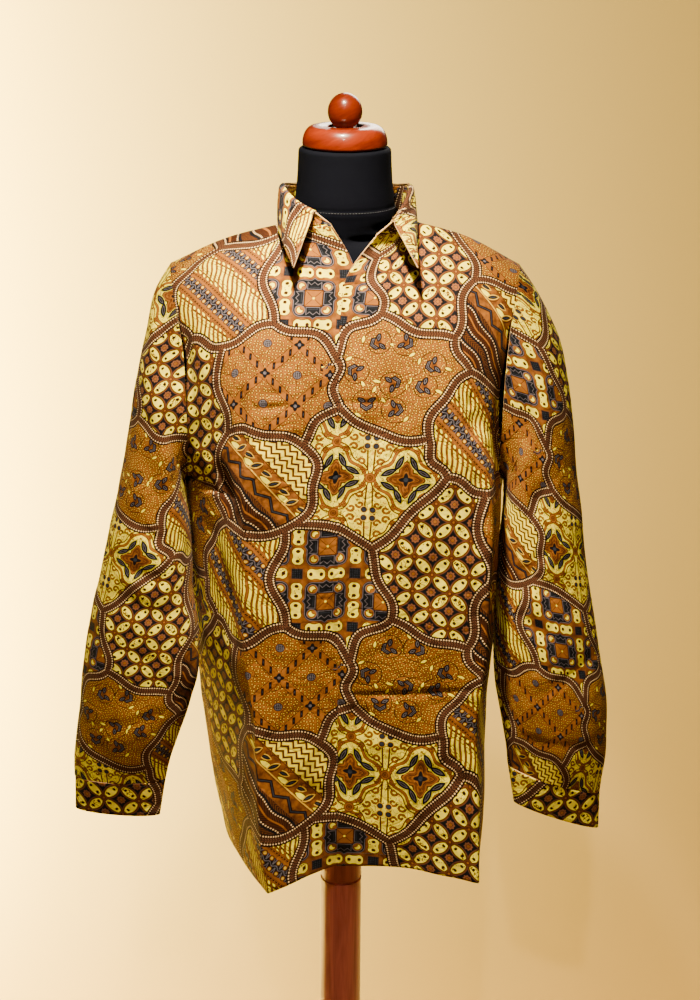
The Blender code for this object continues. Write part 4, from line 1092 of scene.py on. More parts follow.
wear = {
    # a crease's depth at its ends and what its middle adds, and how far it reaches in half widths
    "ends": 0.35, "middle": 0.65, "reach": 3,
    # above this height the cloth lies on the form and is even
    "even from": 1.33, "even over": 0.08}


def press(grid, normals):
    moved = grid.copy()
    for start, end, depth, halfWidth in creases:
        reachOut = halfWidth * wear["reach"]
        low, high = np.minimum(start, end) - reachOut, np.maximum(start, end) + reachOut
        near = np.all((grid > low) & (grid < high), axis=-1)
        if not near.any():
            continue
        share, gap = beside(grid[near], start, end)
        taper = wear["ends"] + wear["middle"] * np.sin(np.pi * np.clip(share, 0.08, 0.92))
        moved[near] -= normals[near] * (depth * taper * np.exp(-(gap / halfWidth) ** 2))[:, None]
    return moved


def ripple(grid, normals):
    # Slow unevenness of worn cotton: three waves that cross, none where it lies on the form.
    x, y, z = np.moveaxis(grid, -1, 0)
    lift = (0.0007 * np.sin(61 * x + 17 * y + 23 * z) + 0.0006 * np.sin(37 * y - 83 * x + 41 * z + 1.3)
            + 0.0004 * np.sin(131 * x + 71 * z + 0.7) * np.sin(29 * z - 47 * y))
    hold = np.clip((wear["even from"] - z) / wear["even over"], 0.0, 1.0)
    return grid + normals * (lift * hold)[..., None]


bodies, sleeves = ("front_left", "front_right", "back"), ("sleeve_left", "sleeve_right")
easing = {"left open": 0.004, "most": 0.0060, "from": 0.84, "grows over": 0.08, "to": 1.19,
          "fades over": 0.04}


def easeTogether(grids, normals):
    # The body's sides and the sleeves billow a little towards each other, and never touch.
    trees = [treeOf(np.vstack([grids[name][::3, ::3].reshape(-1, 3) for name in names]))
             for names in (bodies, sleeves)]
    eased = {}
    for names, tree, side in ((bodies, trees[1], 1.0), (sleeves, trees[0], -1.0)):
        for name in names:
            grid, normal = grids[name], normals[name]
            facing = np.clip(side * np.sign(grid[..., 0]) * normal[..., 0] * 1.3 - 0.3, 0.0, 1.0)
            height = grid[..., 2]
            level = (np.clip((height - easing["from"]) / easing["grows over"], 0.0, 1.0)
                     * np.clip((easing["to"] - height) / easing["fades over"], 0.0, 1.0))
            push = np.zeros(grid.shape[:2])
            for row, column in zip(*np.nonzero(facing * level > 0.02)):
                gap = tree.find(grid[row, column])[2]
                push[row, column] = min(max((gap - easing["left open"]) / 2, 0.0), easing["most"])
            eased[name] = grid + normal * (push * facing * level)[..., None]
    return {**grids, **eased}


def rounded(grid, times):
    # Eases sharp folds, with the panel's edges held.
    eased = grid.copy()
    for _ in range(times):
        eased[:, 1:-1] = (eased[:, :-2] + 2 * eased[:, 1:-1] + eased[:, 2:]) / 4
    return eased


def quadsOf(shape):
    number = np.arange(shape[0] * shape[1]).reshape(shape)
    return np.stack([number[:-1, :-1], number[:-1, 1:], number[1:, 1:], number[1:, :-1]], -1).reshape(-1, 4)


def sewnNormals(grids):
    # Panels share normals at a seam, except where the cloth folds back on itself there.
    points = np.vstack([grid.reshape(-1, 3) for grid in grids.values()])
    starts = np.cumsum([0] + [grid.shape[0] * grid.shape[1] for grid in grids.values()])
    quads = np.vstack([quadsOf(grid.shape[:2]) + start for start, grid in zip(starts, grids.values())])
    crosses = np.cross(points[quads[:, 2]] - points[quads[:, 0]], points[quads[:, 3]] - points[quads[:, 1]])
    own = np.zeros((len(points), 3))
    for corner in range(4):
        for axis in range(3):
            own[:, axis] += np.bincount(quads[:, corner], crosses[:, axis], len(points))
    _, same = np.unique(np.round(points, 5), axis=0, return_inverse=True)
    same = same.reshape(-1)
    sums = np.stack([np.bincount(same, own[:, axis]) for axis in range(3)], -1)
    shared = sums[same] / (np.linalg.norm(sums[same], axis=1)[:, None] + 1e-12)
    own /= np.linalg.norm(own, axis=1)[:, None] + 1e-12
    agree = np.clip(((own * shared).sum(axis=1) - 0.3) / 0.3, 0.0, 1.0)[:, None]
    blend = shared * agree + own * (1 - agree)
    blend /= np.linalg.norm(blend, axis=1)[:, None] + 1e-12
    return {name: blend[start:start + grid.shape[0] * grid.shape[1]].reshape(grid.shape)
            for start, (name, grid) in zip(starts, grids.items())}


def runs(grid):
    steps = np.linalg.norm(np.diff(grid, axis=1), axis=-1)
    return np.concatenate([np.zeros((len(grid), 1)), np.cumsum(steps, axis=1)], axis=1)


def bodyPlaces(grid, zeroColumn, sign, start):
    # Across from the middle and up from the hem, in metres.
    across = runs(grid)
    across = (across - across[:, zeroColumn:zeroColumn + 1]) * sign + start
    return np.stack([across, np.repeat(np.array(rows)[:, None], grid.shape[1], 1)], -1)


# The print eases a little over the chest and opens towards the hem.
chest = {"middle": 0.45, "reach": 0.4, "widens": (0.031, 0.014), "leans": 0.005, "rises": (0.025, 0.0101),
         "bows": 0.028, "twists": 0.0369}


def onPrint(places, shift):
    u, v = places[..., 0], places[..., 1]
    w = (v - chest["middle"]) / chest["reach"]
    (wide, wider), (rise, more) = chest["widens"], chest["rises"]
    p = u * (1 + wide * w + wider * w ** 3) - chest["leans"] * w ** 2
    q = v + rise * w ** 2 + more * w ** 3 + chest["bows"] * u ** 2 - chest["twists"] * u * w
    return np.stack([p, q], -1) * 1000 + shift


def sleevePlaces(grid, low, high, sign):
    # Round the sleeve from its outer line, and down from the shoulder's tip, in metres, measured
    # along cuts square to the sleeve.
    top = grid.shape[1] // 2
    axis = np.array((low[0] - high[0], 0.0, low[1] - high[1]))
    axis /= np.linalg.norm(axis)
    depth = grid @ axis
    depth = np.maximum.accumulate(depth - depth[0, top], axis=0)
    slices = np.linspace(depth.min(), depth.max(), 600)
    columns = range(grid.shape[1])
    # The knots have to rise, so that each is a hair deeper than the last.
    hairs = np.arange(len(grid)) * 1e-9
    cut = np.stack([along(grid[:, k], depth[:, k] + hairs, slices) for k in columns])
    arc = np.cumsum(np.linalg.norm(np.diff(cut, axis=0, prepend=cut[:1]), axis=-1), axis=0)
    across = np.stack([np.interp(depth[:, k], slices, arc[k] - arc[top]) for k in columns], 1)
    return np.stack([across * -sign, -depth], -1)


# What each front and the back move on the print, in millimetres, and how the other sheets lie on
# it: where their own start falls, and how far the print runs for each millimetre across and down.
bodyShifts = {"front_left": (1.0, -2.0), "front_right": (0.0, 0.0), "back": (118.0, -60.0)}
sheetPlaces = {
    "sleeve_right": ((0.2, 930.9), (1.131, -0.143), (0.011, 1.194)),
    "sleeve_left": ((98.6, 925.3), (1.425, 0.382), (0.037, 1.172)),
    "cuff_right": ((60.0, 420.0), (1.0, 0.0), (0.0, 1.0)),
    "cuff_left": ((160.0, 440.0), (1.0, 0.0), (0.0, 1.0)),
    "collar_stand": ((-60.0, 610.0), (1.0, 0.0), (0.0, 1.0)),
    "collar_leaf": ((-120.0, 760.0), (1.0, 0.0), (0.0, 1.0))}
# The lines that sleeves and cuffs are measured along: low and high end (x, z), and the side.
sleeveAxes = {
    "sleeve_right": ((-0.273, 0.733), (-0.193, 1.237), 1),
    "sleeve_left": ((0.262, 0.733), (0.194, 1.237), -1),
    "cuff_right": ((-0.277, 0.685), (-0.273, 0.733), 1),
    "cuff_left": ((0.267, 0.685), (0.262, 0.733), -1)}


def laid(places, start, perAcross, perDown):
    return (np.array(start) + places[..., :1] * 1000 * np.array(perAcross)
            + places[..., 1:] * 1000 * np.array(perDown))


def panel(name, outer, normals, thickness, onCloth, onBatik):
    # A thin wall of printed cloth with both faces and its raw edges.
    inner = outer - normals * thickness
    shape = outer.shape[:2]
    quads = quadsOf(shape)
    motif, onMotif, onBorder = layPrint(onBatik.reshape(-1, 2)[quads])
    cloth = onCloth.reshape(-1, 2)[quads]
    total = shape[0] * shape[1]
    number = np.arange(total).reshape(shape)
    edges = []
    for line, flip in ((number[0], False), (number[-1], True), (number[:, 0], True), (number[:, -1], False)):
        a, b = line[:-1], line[1:]
        if flip:
            a, b = b, a
        edges.append(np.stack([b, a, a + total, b + total], -1))
    edges = np.vstack(edges)
    faces = np.vstack([quads, quads[:, ::-1] + total, edges])
    keys = sorted(printed)
    index = np.array([keys.index(m) for m in motif])
    points = np.vstack([outer.reshape(-1, 3), inner.reshape(-1, 3)])
    made = newPiece(name, points.tolist(), faces.tolist(), *[printed[key] for key in keys], rawEdge)
    mesh = made.data
    edgeUv = onCloth.reshape(-1, 2)[edges % total]
    for label, values in (("cloth", cloth), ("motif", onMotif), ("border", onBorder)):
        layer = mesh.uv_layers.new(name=label)
        stack = np.concatenate([values.reshape(-1, 2), values[:, ::-1].reshape(-1, 2), edgeUv.reshape(-1, 2)])
        layer.data.foreach_set("uv", stack.astype(np.float32).ravel())
    index = np.concatenate([index, index, np.full(len(edges), len(keys))])
    mesh.polygons.foreach_set("material_index", index.astype(np.int32))
    mesh.shade_smooth()
    mesh.update()
    return made


def makeRawEdge():
    made, tree, shader = newMaterial("raw cotton edge", Roughness=0.9)
    place = mapOf(tree, "cloth")
    fuzz = noise(tree, place, 900.0, 2.0)
    feed(tree, mixed(tree, (0.20, 0.09, 0.03, 1.0), (0.62, 0.40, 0.18, 1.0), fuzz), shader, "Base Color")
    bump(tree, fuzz, shader, 0.4, 0.0003)
    return made


rawEdge = makeRawEdge()


def shirtGrids():
    grids = {
        "front_left": frontGrid(frontLeft, sleeveLeft[0]),
        "front_right": frontGrid(frontRight, sleeveRight[0], lapLine),
        "back": backGrid(),
        "sleeve_right": tubeGrid(sleeveRight, armholeInset),
        "sleeve_left": tubeGrid(sleeveLeft, armholeInset),
        "cuff_right": tubeGrid((sleeveRight[-1], mouthRight), 0.0),
        "cuff_left": tubeGrid((sleeveLeft[-1], mouthLeft), 0.0)}
    for name in ("sleeve_right", "sleeve_left", "cuff_right", "cuff_left"):
        grids[name] = np.concatenate([grids[name], grids[name][:, :1]], axis=1)
    neck = sum(frontCounts[:2])
    start = sum(backCounts[:2])
    seam = np.vstack([grids["front_right"][-1, :neck + 1],
                      grids["back"][-1, start + 1:start + sum(backCounts[2:6])],
                      grids["front_left"][-1, neck::-1]])
    stand, leaf = collarGrids(seam)
    leafRows = np.concatenate([np.linspace(0, 3, 13), np.linspace(3, 6, 25)[1:]])
    for name, few, places in (("collar_stand", stand, np.linspace(0, 2, 15)),
                              ("collar_leaf", leaf, leafRows)):
        fine = along(few.reshape(len(few), -1), range(len(few)), places)
        grids[name] = fine.reshape(len(places), -1, 3)
    return grids


def shirtPlaces(grids):
    # Where each panel lies on its own cloth, and where that was cut from the print.
    cloth = {
        "front_left": bodyPlaces(grids["front_left"], 0, 1, frontLeft["edge"][0][0]),
        "front_right": bodyPlaces(grids["front_right"], lapCounts[0], -1, lapLine[0][0]),
        "back": bodyPlaces(grids["back"], grids["back"].shape[1] // 2, -1, 0.0)}
    for name, axis in sleeveAxes.items():
        cloth[name] = sleevePlaces(grids[name], *axis)
    for name in ("collar_stand", "collar_leaf"):
        across = runs(grids[name])
        down = runs(np.swapaxes(grids[name], 0, 1)).T
        cloth[name] = np.stack([across, -down], -1)
    batik = {name: onPrint(cloth[name], shift) for name, shift in bodyShifts.items()}
    for name, places in sheetPlaces.items():
        batik[name] = laid(cloth[name], *places)
    return cloth, batik


stitching = {"pitch": 0.0030, "half size": (0.00105, 0.00026, 0.00022), "proud": 0.0001,
             "unevenness": 0.12, "seed": 11}


def stitchTree():
    # Lays a rounded stitch along every line of a mesh, turned with the cloth below it.
    tree = bpy.data.node_groups.new("stitches along a seam", "GeometryNodeTree")
    for label, kind in (("Seam", "Geometry"), ("Pitch", "Float"), ("Half Size", "Vector"),
                        ("Least", "Vector"), ("Most", "Vector"), ("Seed", "Int"), ("Thread", "Material")):
        tree.interface.new_socket(label, in_out="INPUT", socket_type="NodeSocket" + kind)
    tree.interface.new_socket("Stitches", in_out="OUTPUT", socket_type="NodeSocketGeometry")
    given = tree.nodes.new("NodeGroupInput").outputs

    def node(kind, links=(), **settings):
        made = tree.nodes.new(kind)
        for label, value in settings.items():
            setattr(made, label, value)
        for label, source in dict(links).items():
            tree.links.new(source, made.inputs[label])
        return made

    curve = node("GeometryNodeMeshToCurve", {"Mesh": given["Seam"]})
    spaced = node("GeometryNodeResampleCurve", {"Curve": curve.outputs[0], "Length": given["Pitch"]},
                  mode="LENGTH")
    tangent = node("GeometryNodeInputTangent")
    lift = node("GeometryNodeInputNamedAttribute", data_type="FLOAT_VECTOR")
    lift.inputs["Name"].default_value = "lift"
    run = node("FunctionNodeAlignRotationToVector", {"Vector": tangent.outputs[0]}, axis="X")
    turn = node("FunctionNodeAlignRotationToVector",
                {"Rotation": run.outputs[0], "Vector": lift.outputs["Attribute"]}, axis="Z", pivot_axis="X")
    vary = node("FunctionNodeRandomValue", {0: given["Least"], 1: given["Most"], "Seed": given["Seed"]},
                data_type="FLOAT_VECTOR")
    size = node("ShaderNodeVectorMath", {0: given["Half Size"], 1: vary.outputs[0]}, operation="MULTIPLY")
    bead = node("GeometryNodeMeshUVSphere")
    bead.inputs["Segments"].default_value, bead.inputs["Rings"].default_value = 6, 4
    placed = node("GeometryNodeInstanceOnPoints", {"Points": spaced.outputs[0], "Instance": bead.outputs[0],
                                                   "Rotation": turn.outputs[0], "Scale": size.outputs[0]})
    solid = node("GeometryNodeRealizeInstances", {"Geometry": placed.outputs[0]})
    coloured = node("GeometryNodeSetMaterial", {"Geometry": solid.outputs[0], "Material": given["Thread"]})
    end = tree.nodes.new("NodeGroupOutput")
    tree.links.new(coloured.outputs[0], end.inputs[0])
    return tree


def threadMaterial(name, pale, dark):
    made, tree, shader = newMaterial(name, Roughness=0.55, Sheen_Weight=0.1)
    place = objectPlace(tree)
    x, y, z = split(tree, place)
    twist = (x + y * 0.7 + z * 0.8).wave(0.0006) * 0.5 + 0.5
    shade = twist.sum("MULTIPLY", noise(tree, place, 300.0), clamp=True)
    feed(tree, mixed(tree, (*dark, 1.0), (*pale, 1.0), shade), shader, "Base Color")
    bump(tree, twist, shader, 0.4, 0.0001)
    return made


def sewn(name, tree, lines, thread, pitch):
    # Stitches along lines of points, each line with the cloth's own normals.
    points, normals, edges = [], [], []
    for line, lifts in lines:
        edges += [(len(points) + k, len(points) + k + 1) for k in range(len(line) - 1)]
        points += (line + lifts * stitching["proud"]).tolist()
        normals += lifts.tolist()
    made = newPiece(name, points, (), edges=edges)
    lift = made.data.attributes.new("lift", "FLOAT_VECTOR", "POINT")
    lift.data.foreach_set("vector", np.ravel(normals))
    modifier = made.modifiers.new("stitches", "NODES")
    modifier.node_group = tree
    spread = stitching["unevenness"]
    values = {"Pitch": pitch, "Half Size": stitching["half size"], "Least": (1 - spread,) * 3,
              "Most": (1 + spread,) * 3, "Seed": stitching["seed"], "Thread": thread}
    for item in tree.interface.items_tree:
        if item.in_out == "INPUT" and item.name in values:
            modifier[item.identifier] = values[item.name]
    bpy.context.view_layer.update()
    evaluated = made.evaluated_get(bpy.context.evaluated_depsgraph_get())
    finished = bpy.data.meshes.new_from_object(evaluated)
    made.modifiers.clear()
    made.data = finished
    finished.shade_smooth()
    return made


stitches = stitchTree()


def seamLines(name, grid, normal):
    # The rows and columns of a panel that are sewn down, counted in from its edges.
    def row(at, start=0, stop=None):
        return grid[at, start:stop], normal[at, start:stop]

    def column(at, start=0, stop=None):
        return grid[start:stop, at], normal[start:stop, at]

    if name == "collar_leaf":
        return [row(-5, 2, -2), column(2, 16, -4), column(-3, 16, -4)]
    if name.startswith("cuff"):
        return [row(2), row(-3)]
    if name == "front_right":
        return [row(6), column(-2)]
    if name in ("front_left", "back"):
        return [row(6)]
    return []


def buildShirt():
    grids = shirtGrids()
    cloth, batik = shirtPlaces(grids)
    for name in ("front_right", "back", "collar_stand", "sleeve_left", "cuff_left"):
        for kept in (grids, cloth, batik):
            kept[name] = kept[name][:, ::-1]
    normals = sewnNormals(grids)
    for name in bodies + sleeves:
        grids[name] = rounded(sinkFolds(grids[name], normals[name]), shirt["roundings"])
    grids = easeTogether(grids, sewnNormals(grids))
    normals = sewnNormals(grids)
    for name in bodies + sleeves:
        grids[name] = ripple(press(grids[name], normals[name]), normals[name])
    normals = sewnNormals(grids)
    made, trims = {}, {}
    thread = threadMaterial("dark sewing thread", (0.060, 0.022, 0.008), (0.014, 0.006, 0.003))
    for name, grid in grids.items():
        lines = seamLines(name, grid, normals[name])
        if lines:
            trims[name] = sewn("stitches_" + name, stitches, lines, thread, stitching["pitch"])
        wall = shirt.get(name.split("_")[0], shirt["cloth"])
        made[name] = panel("shirt_" + name, grid, normals[name], wall, cloth[name], batik[name])
    for name, piece in made.items():
        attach(piece, "root")
        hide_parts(name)
        if name in trims:
            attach(trims[name], "root")
        print("cloth:", name, len(piece.data.polygons))


buildShirt()

# The dress form. Its torso's sections: height, half width, depth in front, depth behind, and
# roundness (2 is an oval).
torsoSections = (
    (0.842, 0.140, 0.074, 0.076, 2.2),
    (0.850, 0.150, 0.082, 0.084, 2.3),
    (0.880, 0.157, 0.087, 0.088, 2.4),
    (0.950, 0.154, 0.088, 0.088, 2.4),
    (1.030, 0.146, 0.086, 0.084, 2.4),
    (1.110, 0.152, 0.093, 0.088, 2.4),
    (1.190, 0.163, 0.098, 0.094, 2.4),
    (1.260, 0.170, 0.094, 0.095, 2.4),
    (1.310, 0.171, 0.080, 0.088, 2.3),
    (1.345, 0.165, 0.066, 0.076, 2.1),
    (1.368, 0.155, 0.058, 0.064, 1.8),
    (1.3858, 0.142, 0.053, 0.056, 1.5),
    (1.3953, 0.128, 0.051, 0.054, 1.25),
    (1.3988, 0.113, 0.050, 0.053, 1.15),
    (1.4030, 0.088, 0.049, 0.053, 1.2),
    (1.4098, 0.061, 0.050, 0.053, 1.8),
    (1.424, 0.0590, 0.0525, 0.0535, 2.0),
    (1.440, 0.0570, 0.0545, 0.0545, 2.0),
    (1.465, 0.0545, 0.0540, 0.0540, 2.0),
    (1.4975, 0.0528, 0.0528, 0.0528, 2.0))
# The neck's rounded top, as radius and height.
neckRim = ((0.0526, 1.4988), (0.0519, 1.5000), (0.0508, 1.5010), (0.0495, 1.5014), (0.030, 1.5014))
form = {"sides": 96, "bottom": 0.840, "bottom size": 0.90, "seam": 1.4370, "stitches below": 0.0022,
        "stitches out": 0.0005, "pitch": 0.0034}


def lathe(name, profile, steps, material):
    # A turned piece about the Z axis, from its outline (radius, height) from the bottom up.
    points, faces = [], []
    for radius, height in profile[1:-1]:
        for k in range(steps):
            angle = 2 * math.pi * k / steps
            points.append((radius * math.cos(angle), radius * math.sin(angle), height))
    ringTotal = len(profile) - 2
    for i in range(ringTotal - 1):
        for k in range(steps):
            n = (k + 1) % steps
            faces.append((i * steps + k, i * steps + n, (i + 1) * steps + n, (i + 1) * steps + k))
    for at, height, ring in ((0, profile[0][1], 0), (1, profile[-1][1], ringTotal - 1)):
        centre = len(points)
        points.append((0.0, 0.0, height))
        for k in range(steps):
            n = (k + 1) % steps
            tri = (ring * steps + n, ring * steps + k, centre)
            faces.append(tri if at == 0 else tri[::-1])
    made = newPiece(name, points, faces, material)
    made.data.shade_smooth()
    made.data.set_sharp_from_angle(angle=math.radians(38))
    return made


def arc(centre, radius, start, end, count):
    angles = [math.radians(start + (end - start) * k / count) for k in range(count + 1)]
    return [(centre[0] + radius[0] * math.cos(a), centre[1] + radius[1] * math.sin(a)) for a in angles]


def woodGrain():
    # Long fibres round a turned piece, with paler and darker rings of growth.
    tree, given, fill = startGroup("turned wood grain", [("Place", "Vector", None), ("Lean", "Float", 0.0)],
                                   [("Grain", "Float"), ("Fibre", "Float")])
    x, y, z = split(tree, given["Place"])
    lean = given["Lean"]
    across = x + z * lean
    stretch = join(tree, across * 9.0, y * 9.0, (z - x * lean) * 42.0)
    rings = noise(tree, stretch, 2.4, 3.0, 0.55, 0.6)
    fibre = noise(tree, join(tree, across * 30.0, y * 30.0, (z - x * lean) * 420.0), 3.0, 2.0)
    return fill(Grain=rings, Fibre=fibre)


def woodMaterial(name, grain, pale, dark, lean, along, rough):
    made, tree, shader = newMaterial(name, Coat_Weight=0.35, Coat_Roughness=0.09, Coat_IOR=1.45,
                                     Specular_IOR_Level=0.25)
    place = objectPlace(tree)
    if along:
        x, y, z = split(tree, place)
        place = join(tree, x * 3.0, z * 0.35, y * 3.0)
    found = placeGroup(tree, grain, Place=place, Lean=lean)
    shade = found["Grain"] * 1.5 + found["Fibre"] * 0.5 - 0.5
    tint = mixed(tree, (*dark, 1.0), (*pale, 1.0), shade.sum("ADD", 0.0, clamp=True))
    feed(tree, tint, shader, "Base Color")
    feed(tree, found["Fibre"] * 0.18 + rough, shader, "Roughness")
    bump(tree, found["Fibre"], shader, 0.12, 0.0002)
    return made


def formCloth():
    made, tree, shader = newMaterial("form jersey", Specular_IOR_Level=0.05)
    place = objectPlace(tree)
    x, y, z = split(tree, place)
    turn = y.sum("ARCTAN2", x)
    knit = (turn * 620.0).sum("SINE") * (z * 9500.0).sum("SINE")
    dust = noise(tree, place, 900.0, 2.0)
    patch = noise(tree, place, 24.0, 3.0)
    shade = (knit * 0.12 + patch * 0.7 + dust * 0.25).sum("MULTIPLY", 0.8, clamp=True)
    tint = mixed(tree, (0.0012, 0.0015, 0.0034, 1.0), (0.0036, 0.0044, 0.0090, 1.0), shade)
    feed(tree, tint, shader, "Base Color")
    feed(tree, patch * 0.15 + 0.78, shader, "Roughness")
    bump(tree, knit + dust * 2.0 + patch * 6.0, shader, 0.35, 0.0003)
    return made


def oval(angles, height, halfWidth, front, behind, roundness):
    # One level of the torso.
    c, s = np.cos(angles), np.sin(angles)
    x = halfWidth * np.sign(c) * np.abs(c) ** (2 / roundness)
    y = np.where(s > 0, behind, front) * np.sign(s) * np.abs(s) ** (2 / roundness)
    return np.stack([x, y, np.full(len(angles), height)], -1)


def buildTorso():
    # The padded body and its neck in jersey, with a row of stitches round the neck's seam.
    jersey = formCloth()
    table = np.array(torsoSections)
    heights = np.unique(np.concatenate([
        np.linspace(table[0, 0], 1.26, 60), np.linspace(1.26, 1.40, 50), np.linspace(1.40, 1.4975, 66)]))
    angles = np.linspace(0, 2 * math.pi, form["sides"], endpoint=False)
    rings = []
    for height, (*sizes, roundness) in zip(heights, along(table[:, 1:], table[:, 0], heights)):
        tuck = 0.0007 * math.exp(-((height - form["seam"]) / 0.0014) ** 2)
        sag = 0.0006 * math.exp(-((height - form["seam"] + 0.006) / 0.004) ** 2)
        rings.append(oval(angles, height, *[size - tuck + sag for size in sizes], roundness))
    for radius, height in neckRim:
        rim = (radius * np.cos(angles), radius * np.sin(angles), np.full(form["sides"], height))
        rings.append(np.stack(rim, -1))
    lowest = rings[0] * (form["bottom size"], form["bottom size"], 0.0) + (0.0, 0.0, form["bottom"])
    rings.insert(0, lowest)
    number = np.arange(len(rings) * form["sides"]).reshape(len(rings), form["sides"])
    after = np.roll(number, -1, axis=1)
    faces = np.stack([number[:-1], after[:-1], after[1:], number[1:]], -1).reshape(-1, 4).tolist()
    faces += [number[0][::-1].tolist(), number[-1].tolist()]
    body = newPiece("form_jersey_body", np.vstack(rings).tolist(), faces, jersey)
    body.data.shade_smooth()
    height = form["seam"] - form["stitches below"]
    *sizes, roundness = along(table[:, 1:], table[:, 0], [height])[0]
    turns = np.linspace(0, 2 * math.pi, 241)
    line = oval(turns, height, *[size + form["stitches out"] for size in sizes], roundness)
    outward = np.stack([np.cos(turns), np.sin(turns), np.zeros(len(turns))], -1)
    sewing = sewn("stitches_neck_seam", stitches, [(line, outward)],
                  threadMaterial("grey sewing thread", (0.16, 0.16, 0.19), (0.04, 0.04, 0.05)), form["pitch"])
    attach(sewing, "root")
    return body


# Turned wood. The cap's top is dished, and the knob stands in the dish.
cap = {"foot": 1.5018, "high": 0.0237, "waist": 0.0040, "dish": 0.0030}
knob = {"sunk": 0.0027, "radius": 0.0196, "half high": 0.0210, "foot angle": 62}
pole = {"radius": 0.0260, "foot": 0.0303, "top": 0.8397, "groove": 0.5735, "half groove": 0.0026}


def buildWood():
    grain = woodGrain()
    bright = woodMaterial("varnished cap wood", grain, (0.21, 0.020, 0.001), (0.055, 0.004, 0.0005),
                          0.45, False, 0.22)
    dark = woodMaterial("varnished pole wood", grain, (0.62, 0.150, 0.120), (0.26, 0.048, 0.042),
                        0.1, True, 0.30)
    low = woodMaterial("varnished base wood", grain, (0.20, 0.030, 0.014), (0.065, 0.010, 0.006),
                       0.1, False, 0.30)
    foot, top, waist = cap["foot"], cap["foot"] + cap["high"], cap["foot"] + cap["waist"]
    dish = top - cap["dish"]
    turnedCap = lathe(
        "turned_cap", [(0.0, foot), (0.040, foot)] + arc((0.0445, waist), (0.0040, 0.0040), -90, 0, 8)
        + arc((0.0360, waist), (0.0125, top - waist), 12, 90, 22)
        + [(0.0215, top), (0.0206, top - 0.0004), (0.0200, top - 0.0012), (0.0195, dish), (0.010, dish),
           (0.0, dish)], 128, bright)
    foot, angle = top - knob["sunk"], knob["foot angle"]
    middle = foot + knob["half high"] * math.sin(math.radians(angle))
    turnedKnob = lathe(
        "turned_knob", [(0.0, foot)] + arc((0.0, middle), (knob["radius"], knob["half high"]), -angle, 89, 40)
        + [(0.0, middle + knob["half high"])], 96, bright)
    radius, groove, half = pole["radius"], pole["groove"], pole["half groove"]
    turnedPole = lathe(
        "turned_pole", [(0.0, pole["foot"]), (radius, pole["foot"]), (radius, 0.30), (radius, groove - half)]
        + arc((0.0262, groove), (0.0016, 0.0024), 270, 90, 8)
        + [(radius, groove + half), (radius, 0.70), (radius, pole["top"]), (0.0, pole["top"])], 96, dark)
    turnedBase = lathe(
        "turned_base", [(0.0, 0.0), (0.163, 0.0), (0.165, 0.002), (0.165, 0.012)]
        + arc((0.155, 0.012), (0.0095, 0.0075), 0, 90, 8) + arc((0.140, 0.0245), (0.012, 0.0055), 0, 90, 8)
        + [(0.060, 0.030), (0.030, 0.030), (0.0, 0.030)], 128, low)
    return turnedCap, turnedKnob, turnedPole, turnedBase


def buildForm():
    nodes = ("form_torso", "form_cap", "form_knob", "form_pole", "form_base")
    for piece, node in zip((buildTorso(), *buildWood()), nodes):
        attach(piece, "root")
        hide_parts(node)
    print("form built")


buildForm()

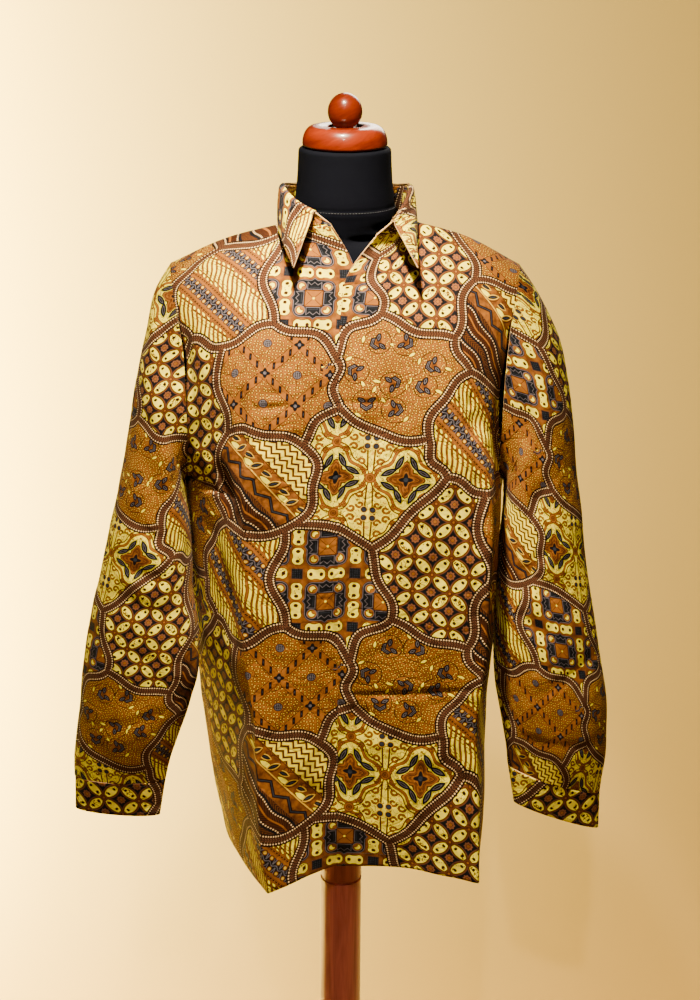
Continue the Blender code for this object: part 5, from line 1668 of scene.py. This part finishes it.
# Floor, backdrop and lights.
studio = {"paper": (0.88, 0.58, 0.20), "shade": (0.83, 0.53, 0.17), "reach": 6.0, "wall": 0.52,
          "height": 4.0, "glow": (1.0, 0.86, 0.66), "glow strength": 0.030}
lamps = (
    # place, aim, width, height, watts, colour, and a cone's angle where the lamp has one
    ("ceiling spot", (-0.09, -0.50, 2.45), (0.0, -0.10, 1.14), 0.10, 0.10, 620.0, (1.0, 0.855, 0.585), 30.0),
    ("far spot", (-0.30, -5.20, 5.60), (0.0, 0.0, 1.0), 0.16, 0.16, 130.0, (1.0, 0.86, 0.64), None),
    ("wall wash", (-1.12, 0.20, 1.10), (-1.07, 0.52, 1.10), 0.5, 1.8, 370.0, (1.0, 0.97, 0.48), None),
    ("rear light", (0.6, 2.4, 2.4), (0.0, 0.0, 1.1), 1.4, 1.4, 70.0, (1.0, 0.90, 0.72), None))


def buildStudio():
    reach, wall, high = studio["reach"], studio["wall"], studio["height"]
    floor = ((-reach, -reach, 0.0), (reach, -reach, 0.0), (reach, reach, 0.0), (-reach, reach, 0.0))
    backdrop = ((-reach, wall, 0.0), (reach, wall, 0.0), (reach, wall, high), (-reach, wall, high))
    for name, points, oneSided in (("studio_floor", floor, False), ("studio_wall", backdrop, True)):
        paper, tree, shader = newMaterial(name + " paper", Roughness=0.95, Specular_IOR_Level=0.1)
        shade = noise(tree, objectPlace(tree), 1.2, 2.0)
        feed(tree, mixed(tree, (*studio["paper"], 1.0), (*studio["shade"], 1.0), shade), shader, "Base Color")
        if oneSided:
            facing = tree.nodes.new("ShaderNodeNewGeometry")
            feed(tree, Value(tree, facing.outputs["Backfacing"]) * -1.0 + 1.0, shader, "Alpha")
        made = newPiece(name, points, [(0, 1, 2, 3)], paper)
        # The wall is only seen: it neither shades the shirt's back nor throws light on it.
        made.visible_diffuse = made.visible_glossy = made.visible_shadow = not oneSided
    world = bpy.data.worlds.new("soft room")
    world.use_nodes = True
    background = world.node_tree.nodes["Background"].inputs
    background[0].default_value = (*studio["glow"], 1.0)
    background[1].default_value = studio["glow strength"]
    bpy.context.scene.world = world
    for name, place, aim, width, height, power, tint, cone in lamps:
        data = bpy.data.lights.new(name, "SPOT" if cone else "AREA")
        if cone:
            data.spot_size, data.spot_blend = math.radians(cone), 1.0
            data.shadow_soft_size = width / 2
        else:
            data.shape = "RECTANGLE"
            data.size, data.size_y = width, height
        data.energy = power
        data.color = tint
        light = bpy.data.objects.new(name, data)
        light.location = place
        light.rotation_euler = (Vector(aim) - Vector(place)).to_track_quat("-Z", "Y").to_euler()
        bpy.context.scene.collection.objects.link(light)
    print("studio lit")


buildStudio()
